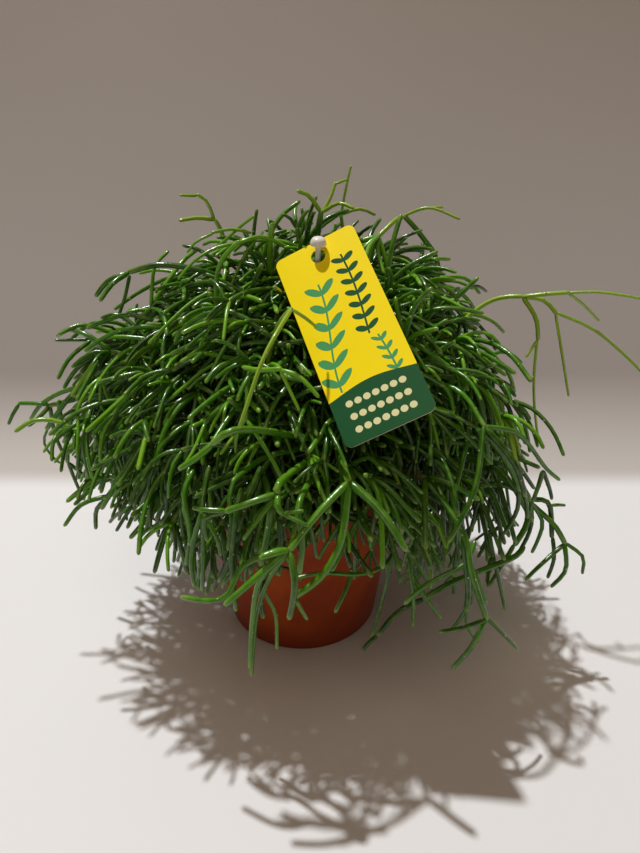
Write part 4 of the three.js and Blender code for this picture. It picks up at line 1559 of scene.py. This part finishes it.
def drained(mesh):
    """The pot's mesh with its drain holes cut."""
    pot = bpy.data.objects.new("pot_blank", mesh)
    bpy.context.scene.collection.objects.link(pot)
    cutters = bmesh.new()
    ring = (POT["pad_radius"] + POT["foot_radius"]) / 2 * MM
    for i in range(POT["drains"]):
        angle = 2 * math.pi * (i + 0.5) / POT["drains"]
        place = Matrix.Translation((ring * math.cos(angle), ring * math.sin(angle), 0))
        radius = POT["drain_radius"] * MM
        bmesh.ops.create_cone(
            cutters,
            cap_ends=True,
            segments=POT["drain_sides"],
            radius1=radius,
            radius2=radius,
            depth=POT["cutter_length"] * MM,
            matrix=place,
        )
    cutter = bpy.data.objects.new("drain_cutter", bpy.data.meshes.new("drain_cutter"))
    cutters.to_mesh(cutter.data)
    cutters.free()
    bpy.context.scene.collection.objects.link(cutter)
    modifier = pot.modifiers.new("Drains", "BOOLEAN")
    modifier.object = cutter
    modifier.operation = "DIFFERENCE"
    made = evaluated_mesh(pot, "pot_moulded")
    for helper in (pot, cutter):
        bpy.data.objects.remove(helper)
    return made


def clay_finish(settings):
    """Satin plastic with stains, dried splashes and fine scratches round the wall, and painted shade that
    darkens it towards its foot.
    """
    finish = Finish("terracotta_plastic", Roughness=0.42, Specular_IOR_Level=0.3)
    place = finish.place()
    cloud = finish.grain(place, 22.0, 4.0, 0.6)
    speck = finish.grain(place, 700.0, 2.0)
    scratch = finish.grain(finish.stretched(place, (1.0, 1.0, 40.0)), 45.0, 2.0)
    height = finish.split(place, "Z")
    splash = finish.smooth(cloud * 0.6 + speck * 0.4, 0.52, 0.66)
    low = finish.smooth(height, 0.03, 0.0)
    # Painted shade: the lowest 30 mm turn to the dark clay, along with the random stains.
    stain_and_foot_shade = finish.smooth(cloud, 0.35, 0.7).most(low * 0.9)
    base = finish.mix(stain_and_foot_shade, settings.clay, settings.clay_dark)
    dusty = splash * (0.08 + low * 0.1)
    finish.set("Base Color", finish.mix(dusty, base, settings.dust))
    finish.set("Roughness", 0.36 + cloud * 0.14 + dusty * 0.4 + scratch * 0.08)
    finish.bump(speck * 0.5 + scratch * 0.3, 0.0001, 0.5)
    return finish.material


class CACTUS_OT_mould_pot(bpy.types.Operator):
    """Mould the nursery pot"""

    bl_idname = "cactus.mould_pot"
    bl_label = "Mould the pot"

    def execute(self, context):
        settings = context.scene.cactus_pot
        mesh = drained(lathe("pot_blank", in_metres(pot_profile()), settings.sides))
        shade(mesh, math.radians(POT["crease"]))
        piece_from("nursery_pot", mesh, [clay_finish(settings)], "terracotta_plastic", "pot")
        return {"FINISHED"}


# ---------- the soil ----------


def soil_height(x, y):
    """The soil's surface, with the same swells as its solid and finer ones on top."""
    pitch_x, pitch_y = SOIL["swell_pitch"]
    swell = SOIL["swell"] * math.sin(x / pitch_x + 1) * math.cos(y / pitch_y)
    return SOIL["level"] + swell + SOIL["lumps"] * noise.noise(Vector((x, y, 0)) / SOIL["lump_size"])


def soil_body():
    """The soil as one closed body in the pot, with an uneven top."""
    floor = POT["recess"] + POT["wall"] + GAP
    edge = inner_radius_at(SOIL["level"]) - GAP
    rings = SOIL["rings"]
    top = [(edge * (1 - i / rings), SOIL["level"]) for i in range(1, rings)]
    shoulder = (edge, SOIL["level"] - SOIL["edge_drop"])
    profile = [(0, floor), (inner_radius_at(floor) - GAP, floor), shoulder, *top]
    mesh = lathe("soil_body", in_metres([*profile, (0, SOIL["level"])]), SOIL["sides"])
    for vertex in mesh.vertices:
        x, y, z = vertex.co / MM
        if z > SOIL["level"] - SOIL["edge_drop"] / 2:
            vertex.co.z = soil_height(x, y) * MM
    return mesh


# A crumb's width, as shares of the largest one's: the least, what chance adds, and how rare large ones are.
# Then how far it tips over, and the least and the most of its sizes along X, Y and Z, in widths.
CRUMBS = {"least": 0.18, "extra": 0.82, "rarity": 4, "tip": 0.6}
CRUMB_SHAPES = (0.5, 0.35, 0.25), (1.0, 0.8, 0.6)


def crumb_tree():
    """Crumbs of many sizes and shapes, thrown over the top of a body."""
    inputs = {
        "Density": "NodeSocketFloat",
        "Largest": "NodeSocketFloat",
        "Seed": "NodeSocketInt",
        "Crumb": "NodeSocketMaterial",
    }
    tree, graph, given = new_tree("crumbs", inputs)
    node = graph.node

    def random_share(seed):
        inputs = {2: 0.0, 3: 1.0, "Seed": seed}
        return node("FunctionNodeRandomValue", {"data_type": "FLOAT"}, inputs, output=1)

    def random_vector(seed, least, most):
        inputs = {0: least, 1: most, "Seed": seed}
        return node("FunctionNodeRandomValue", {"data_type": "FLOAT_VECTOR"}, inputs)

    normal = node("GeometryNodeInputNormal")
    upward = graph.split(normal, "Z")
    points = node(
        "GeometryNodeDistributePointsOnFaces",
        inputs={
            "Mesh": given["Geometry"],
            "Selection": upward > 0.5,
            "Density": given["Density"],
            "Seed": given["Seed"],
        },
    )
    size = random_share(1)
    squash = random_vector(2, *CRUMB_SHAPES)
    width = given["Largest"] * (CRUMBS["least"] + size ** CRUMBS["rarity"] * CRUMBS["extra"])
    scale = node("ShaderNodeVectorMath", {"operation": "SCALE"}, {"Vector": squash, "Scale": width})
    tip = CRUMBS["tip"]
    turn = random_vector(3, (-tip, -tip, 0.0), (tip, tip, 2 * math.pi))
    rotation = node("FunctionNodeEulerToRotation", inputs={0: turn})
    crumb = node("GeometryNodeMeshIcoSphere", inputs={"Radius": 1.0, "Subdivisions": 1})
    crumbs = node(
        "GeometryNodeInstanceOnPoints",
        inputs={"Points": points, "Instance": crumb, "Rotation": rotation, "Scale": scale},
    )
    tinted = node(
        "GeometryNodeStoreNamedAttribute",
        {"data_type": "FLOAT", "domain": "INSTANCE"},
        {"Geometry": crumbs, "Name": "tint", "Value": random_share(4)},
    )
    joined = node("GeometryNodeJoinGeometry", inputs={0: [tinted, given["Geometry"]]})
    real = node("GeometryNodeRealizeInstances", inputs={"Geometry": joined})
    done = node("GeometryNodeSetMaterial", inputs={"Geometry": real, "Material": given["Crumb"]})
    node("NodeGroupOutput", inputs={"Geometry": done})
    return tree


def peat_finish(settings):
    """Dark, dull peat with lighter bark."""
    finish = Finish("potting_soil", Roughness=0.95)
    place = finish.place()
    fibre = finish.grain(finish.stretched(place, (1.0, 3.0, 1.0)), 500.0, 4.0, 0.7)
    tint = finish.attribute("tint")
    lightness = (tint**2 * 0.7 + fibre * 0.3).least(1.0)
    finish.set("Base Color", finish.mix(lightness, settings.peat, settings.bark))
    finish.bump(fibre, 0.0006)
    return finish.material


class CACTUS_OT_fill_soil(bpy.types.Operator):
    """Fill the pot with crumbly soil"""

    bl_idname = "cactus.fill_soil"
    bl_label = "Fill in the soil"

    def execute(self, context):
        settings = context.scene.cactus_soil
        inputs = {
            "Density": settings.crumb_density,
            "Largest": settings.crumb_size,
            "Seed": settings.seed,
            "Crumb": peat_finish(settings),
        }
        mesh = apply_tree(soil_body(), crumb_tree(), inputs, "soil_crumbs")
        piece_from("soil_crumbs", mesh, [], "potting_soil", "soil")
        return {"FINISHED"}


# ---------- the label and its stake ----------

LABEL_UV = "label_uv"
CORNER_STEPS = 8
HOLE_SIDES = 32
FRONT, EDGE, BACK = range(3)  # the card's materials

# The printed sprigs, in millimetres from the card's middle. A sprig stands at x, bends to the side by its
# swing, and has a pair of leaves of a length and a width in each cell of its stretch of Y.
SPRIGS = {
    "tall": {"x": -9, "swing": -4, "stretch": (-26, 28), "cell": 9, "leaf": (9, 3.6), "lean": 0.7},
    "dark": {"x": 8, "swing": -2, "stretch": (-6, 37.4), "cell": 6.2, "leaf": (6.0, 2.8), "lean": 0.5},
    "low": {"x": 9, "swing": 3, "stretch": (-28, -8), "cell": 5, "leaf": (4.6, 1.8), "lean": 0.7},
}
SPRIG_BEND = 0.06  # how quickly they swing to and fro along Y
# The ovals on the band: the size of a cell, the half size of an oval, and where they stop.
OVALS = {"cell": (4, 6), "half": (1.6, 1.5), "offset": (14, 47), "side": 14.0, "stretch": (-46.0, -29.5)}
BAND = {"top": -27, "wave": 2, "pitch": 0.11}


def card_outline():
    """The card's rounded outline, as corner points with arcs."""
    x, y, corner = LABEL["width"] / 2, LABEL["height"] / 2, LABEL["corner"]
    points = []
    for turn, (cx, cy) in enumerate([(x, y), (-x, y), (-x, -y), (x, -y)]):
        cx -= math.copysign(corner, cx)
        cy -= math.copysign(corner, cy)
        for s in range(CORNER_STEPS + 1):
            angle = (turn + s / CORNER_STEPS) * math.pi / 2
            points.append((cx + corner * math.cos(angle), cy + corner * math.sin(angle)))
    return points


def hole_outline():
    y = LABEL["height"] / 2 - LABEL["hole_from_top"]
    angles = [2 * math.pi * i / HOLE_SIDES for i in range(HOLE_SIDES)]
    return [(LABEL["hole_radius"] * math.cos(a), y + LABEL["hole_radius"] * math.sin(a)) for a in angles]


def card_mesh():
    """The card flat on the XY plane, in metres, with softly rounded edges."""
    softness = LABEL["edge_radius"]
    curve = bpy.data.curves.new("card_outline", "CURVE")
    curve.dimensions = "2D"
    curve.fill_mode = "BOTH"
    curve.extrude = (LABEL["thickness"] / 2 - softness) * MM
    curve.bevel_depth = softness * MM
    curve.bevel_resolution = 2
    curve.offset = -softness * MM
    for outline in (card_outline(), hole_outline()):
        spline = curve.splines.new("POLY")
        spline.points.add(len(outline) - 1)
        for point, (x, y) in zip(spline.points, outline):
            point.co = (x * MM, y * MM, 0, 1)
        spline.use_cyclic_u = True
    carrier = bpy.data.objects.new("card_outline", curve)
    bpy.context.scene.collection.objects.link(carrier)
    made = evaluated_mesh(carrier, "label_card")
    bpy.data.objects.remove(carrier)
    return made


def map_card(mesh):
    """Gives the card a map in shares of its width and height, and its cut edge a second material."""
    layer = mesh.uv_layers.new(name=LABEL_UV)
    for loop in mesh.loops:
        x, y, _ = mesh.vertices[loop.vertex_index].co / MM
        layer.data[loop.index].uv = (x / LABEL["width"] + 0.5, y / LABEL["height"] + 0.5)
    for face in mesh.polygons:
        facing = face.normal.z
        face.material_index = FRONT if facing > 0.5 else EDGE if facing > -0.5 else BACK


def is_in_oval(along, across):
    """Whether two offsets, as shares of an oval's half sizes, lie in it."""
    return (along * along + across * across) < 1.0


def sprig_mask(sprig, x, y, curve):
    """A thin stalk along Y with a pair of leaves in each cell."""
    low, high = sprig["stretch"]
    cell, lean = sprig["cell"], sprig["lean"]
    length, width = (size / 2 for size in sprig["leaf"])
    up = ((y - low) / cell).fraction() * cell - cell * 0.35
    side = abs(x - sprig["x"] + curve * sprig["swing"])
    ahead = side * math.cos(lean) + up * math.sin(lean)
    across = up * math.cos(lean) - side * math.sin(lean)
    blade = is_in_oval((ahead - length) / length, across / width)
    stalk = side < 0.45
    return blade.most(stalk).least((y > low).least(y < high))


def oval_mask(x, y):
    """Rows of ovals along X."""
    (cell_x, cell_y), (shift_x, shift_y) = OVALS["cell"], OVALS["offset"]
    half_x, half_y = OVALS["half"]
    low, high = OVALS["stretch"]
    across = abs(((x + shift_x) / cell_x).fraction() - 0.5) * cell_x
    up = abs(((y + shift_y) / cell_y).fraction() - 0.5) * cell_y
    mark = is_in_oval(up / half_y, across / half_x)
    return mark.least(abs(x) < OVALS["side"]).least(y > low).least(y < high)


def card_finish(settings):
    """The printed front: a yellow ground with three sprigs, and a green band with rows of ovals."""
    finish = Finish("label_print", Roughness=0.3, Specular_IOR_Level=0.2)
    uv = finish.node("ShaderNodeUVMap", {"uv_map": LABEL_UV})
    across = finish.split(uv)
    x = (across - 0.5) * LABEL["width"]
    y = (across.output("Y") - 0.5) * LABEL["height"]
    curve = (y * SPRIG_BEND).sine()
    tall, dark, low = (sprig_mask(sprig, x, y, curve) for sprig in SPRIGS.values())
    band = y < BAND["top"] + (x * BAND["pitch"]).cosine() * BAND["wave"]
    printed = finish.mix(finish.grain(uv, 3.0, 2.0) * 0.25, settings.field, settings.field_cloud)
    printed = finish.mix(tall.most(low), printed, settings.leaf)
    printed = finish.mix(dark, printed, settings.band)
    printed = finish.mix(band, printed, settings.band)
    printed = finish.mix(oval_mask(x, y), printed, settings.cream)
    finish.set("Base Color", printed)
    finish.set("Roughness", 0.25 + finish.grain(uv, 40.0, 3.0) * 0.12)
    finish.bump(finish.grain(finish.place(), 1500.0, 1.0), 0.00004, 0.4)
    return finish.material


def plain_finish(name, tone, roughness, **constants):
    """Moulded plastic with a faint, uneven gloss."""
    finish = Finish(name, Roughness=roughness, **constants)
    cloud = finish.grain(finish.place(), 180.0, 3.0)
    finish.set("Base Color", finish.mix(cloud * 0.3, tone, tuple(c * 0.7 for c in tone)))
    finish.set("Roughness", roughness + cloud * 0.15)
    finish.bump(finish.grain(finish.place(), 1200.0, 2.0), 0.00005, 0.5)
    return finish.material


class CACTUS_OT_print_label(bpy.types.Operator):
    """Print the plant label and place it on its stake"""

    bl_idname = "cactus.print_label"
    bl_label = "Print the label"

    def execute(self, context):
        settings = context.scene.cactus_label
        mesh = card_mesh()
        map_card(mesh)
        turn = Matrix((LABEL_ACROSS, LABEL_UP, LABEL_NORMAL)).transposed().to_4x4()
        mesh.transform(Matrix.Translation(Vector(LABEL["centre"]) * MM) @ turn)
        shade(mesh, math.radians(LABEL["crease"]))
        back = plain_finish("label_back", settings.field, 0.35)
        edge = plain_finish("label_edge", settings.edge, 0.4)
        piece_from("printed_label", mesh, [card_finish(settings), edge, back], "label_card", "label_card")
        return {"FINISHED"}


class CACTUS_OT_mould_stake(bpy.types.Operator):
    """Mould the round-headed stake that holds the label"""

    bl_idname = "cactus.mould_stake"
    bl_label = "Mould the stake"

    def execute(self, context):
        settings = context.scene.cactus_label
        radius, head_radius, head_height = STAKE["radius"], STAKE["head_radius"], STAKE["head_height"]
        foot, head = stake_line()
        length = distance(foot, head)
        flare = length + STAKE["head_flare"]
        crown_width, crown_height = STAKE["crown"]
        corners = [
            (0, 0, 0),
            (radius, STAKE["point"], 1.5),
            (radius, length, 0.6),
            (head_radius, flare, 0.4),
            (head_radius, flare + STAKE["head_edge"], 1.0),
            (head_radius * crown_width, length + head_height * crown_height, 1.2),
            (0, length + head_height, 0),
        ]
        mesh = lathe("stake", in_metres(rounded(corners)), STAKE["sides"])
        mesh.transform(along_line(foot, head))
        shade(mesh, math.radians(STAKE["crease"]))
        milky = plain_finish("milky_plastic", settings.stake, 0.25, Transmission_Weight=0.15, IOR=1.45)
        piece_from("label_pin", mesh, [milky], "clear_stake", "label_stake")
        return {"FINISHED"}


# ---------- the stage ----------

CAMERA = {"place": (0.0103, -0.314, 0.273), "tilt": math.radians(63.9), "lens": 27.05, "sensor": 36.0}
FLOOR_EDGE = 0.142
EDGE_BLUR = (-0.012, 0.02)  # from the edge: where the floor's colour ends, and where the wall's begins
# Painted light: the wall is painted lighter at its foot and darker higher up, as the light falls off.
WALL_PAINTED_FALLOFF = (0.09, 0.49)  # the heights between which the wall darkens
SWEEP_RADIUS = 0.11
STAGE_WIDTH = 3.0
WALL_SLOPE = math.radians(62)  # so that the key light, which is further back, reaches the wall
LIGHTS = {
    "key": {"place": (-1.5, 1.62, 6.0), "size": 0.2, "tint": (0.98, 1.0, 1.0)},
    "fill": {"place": (-0.1, -0.9, 1.8), "size": 1.5, "tint": (1.0, 0.79, 0.6)},
}
LIT_POINT = (0, 0, 0.1)
AMBIENT_TINT = (1.0, 0.71, 0.5, 1)


def stage_mesh():
    """A floor that sweeps up into a wall that leans back."""
    steps = 24
    section = [(-STAGE_WIDTH, 0.0)]
    for s in range(steps + 1):
        angle = WALL_SLOPE * s / steps
        section.append((FLOOR_EDGE + SWEEP_RADIUS * math.sin(angle), SWEEP_RADIUS * (1 - math.cos(angle))))
    y, z = section[-1]
    section.append((y + STAGE_WIDTH * math.cos(WALL_SLOPE), z + STAGE_WIDTH * math.sin(WALL_SLOPE)))
    mesh = bpy.data.meshes.new("backdrop")
    ends = [(x, y, z) for x in (-STAGE_WIDTH, STAGE_WIDTH) for y, z in section]
    count = len(section)
    mesh.from_pydata(ends, [], [(i, i + count, i + count + 1, i + 1) for i in range(count - 1)])
    shade(mesh)
    return mesh


def stage_finish(settings):
    """A pale, matt floor, and a darker wall with painted light: lighter at its foot and darker higher up.
    """
    finish = Finish("backdrop", Roughness=0.7)
    place = finish.place()
    back = finish.split(place, "Y")
    cloud = finish.grain(place, 4.0, 3.0)
    # Painted light: the wall's colour goes from its lighter foot to its darker top.
    wall = finish.mix(finish.smooth(back.output("Z"), *WALL_PAINTED_FALLOFF), settings.wall_foot_painted_light, settings.wall)
    edge = back + cloud * 0.004
    is_wall = finish.smooth(edge, *(FLOOR_EDGE + blur for blur in EDGE_BLUR))
    finish.set("Base Color", finish.mix(is_wall, settings.floor, wall))
    finish.set("Roughness", 0.6 + cloud * 0.15)
    return finish.material


def area_light(name, power):
    """One of the round lights, turned to the lit point."""
    light = bpy.data.lights.new(name, "AREA")
    light.shape = "DISK"
    light.size = LIGHTS[name]["size"]
    light.energy = power
    light.color = LIGHTS[name]["tint"]
    lamp = bpy.data.objects.new(name, light)
    lamp.location = LIGHTS[name]["place"]
    lamp.rotation_euler = (Vector(LIT_POINT) - lamp.location).to_track_quat("-Z", "Y").to_euler()
    bpy.context.scene.collection.objects.link(lamp)


class CACTUS_OT_set_stage(bpy.types.Operator):
    """Set the floor, the backdrop, the lights and the camera"""

    bl_idname = "cactus.set_stage"
    bl_label = "Set the stage"

    def execute(self, context):
        settings = context.scene.cactus_stage
        backdrop = bpy.data.objects.new("backdrop", stage_mesh())
        backdrop.data.materials.append(stage_finish(settings))
        context.scene.collection.objects.link(backdrop)
        area_light("key", settings.key_power)
        area_light("fill", settings.fill_power)
        world = bpy.data.worlds.new("studio")
        context.scene.world = world
        world.use_nodes = True
        background = world.node_tree.nodes["Background"]
        background.inputs["Color"].default_value = AMBIENT_TINT
        background.inputs["Strength"].default_value = settings.ambient
        camera = bpy.data.cameras.new("camera")
        camera.lens = CAMERA["lens"]
        camera.sensor_width = CAMERA["sensor"]
        camera.clip_start = 0.01
        viewer = bpy.data.objects.new("camera", camera)
        viewer.location = CAMERA["place"]
        viewer.rotation_euler = (CAMERA["tilt"], 0, 0)
        context.scene.collection.objects.link(viewer)
        context.scene.camera = viewer
        context.scene.view_settings.view_transform = "Standard"
        return {"FINISHED"}


# ---------- the add-on ----------

OPERATORS = (
    CACTUS_OT_set_stage,
    CACTUS_OT_mould_pot,
    CACTUS_OT_fill_soil,
    CACTUS_OT_grow_sprays,
    CACTUS_OT_mould_stake,
    CACTUS_OT_print_label,
)


class CACTUS_PT_parts(bpy.types.Panel):
    """Lists the makers of the plant's pieces"""

    bl_label = "Mistletoe cactus"
    bl_idname = "CACTUS_PT_parts"
    bl_space_type = "VIEW_3D"
    bl_region_type = "UI"
    bl_category = "Cactus"

    def draw(self, context):
        for operator in OPERATORS:
            self.layout.operator(operator.bl_idname)
        for name, settings in SETTINGS.items():
            box = self.layout.box()
            for label in settings.__annotations__:
                box.prop(getattr(context.scene, name), label)


CLASSES = (*SETTINGS.values(), *OPERATORS, CACTUS_PT_parts)


def register():
    for made in CLASSES:
        bpy.utils.register_class(made)
    for name, settings in SETTINGS.items():
        setattr(bpy.types.Scene, name, PointerProperty(type=settings))


def unregister():
    for name in SETTINGS:
        delattr(bpy.types.Scene, name)
    for made in reversed(CLASSES):
        bpy.utils.unregister_class(made)


def main():
    register()
    for operator in OPERATORS:
        group, name = operator.bl_idname.split(".")
        getattr(getattr(bpy.ops, group), name)()


if __name__ == "__main__":
    main()
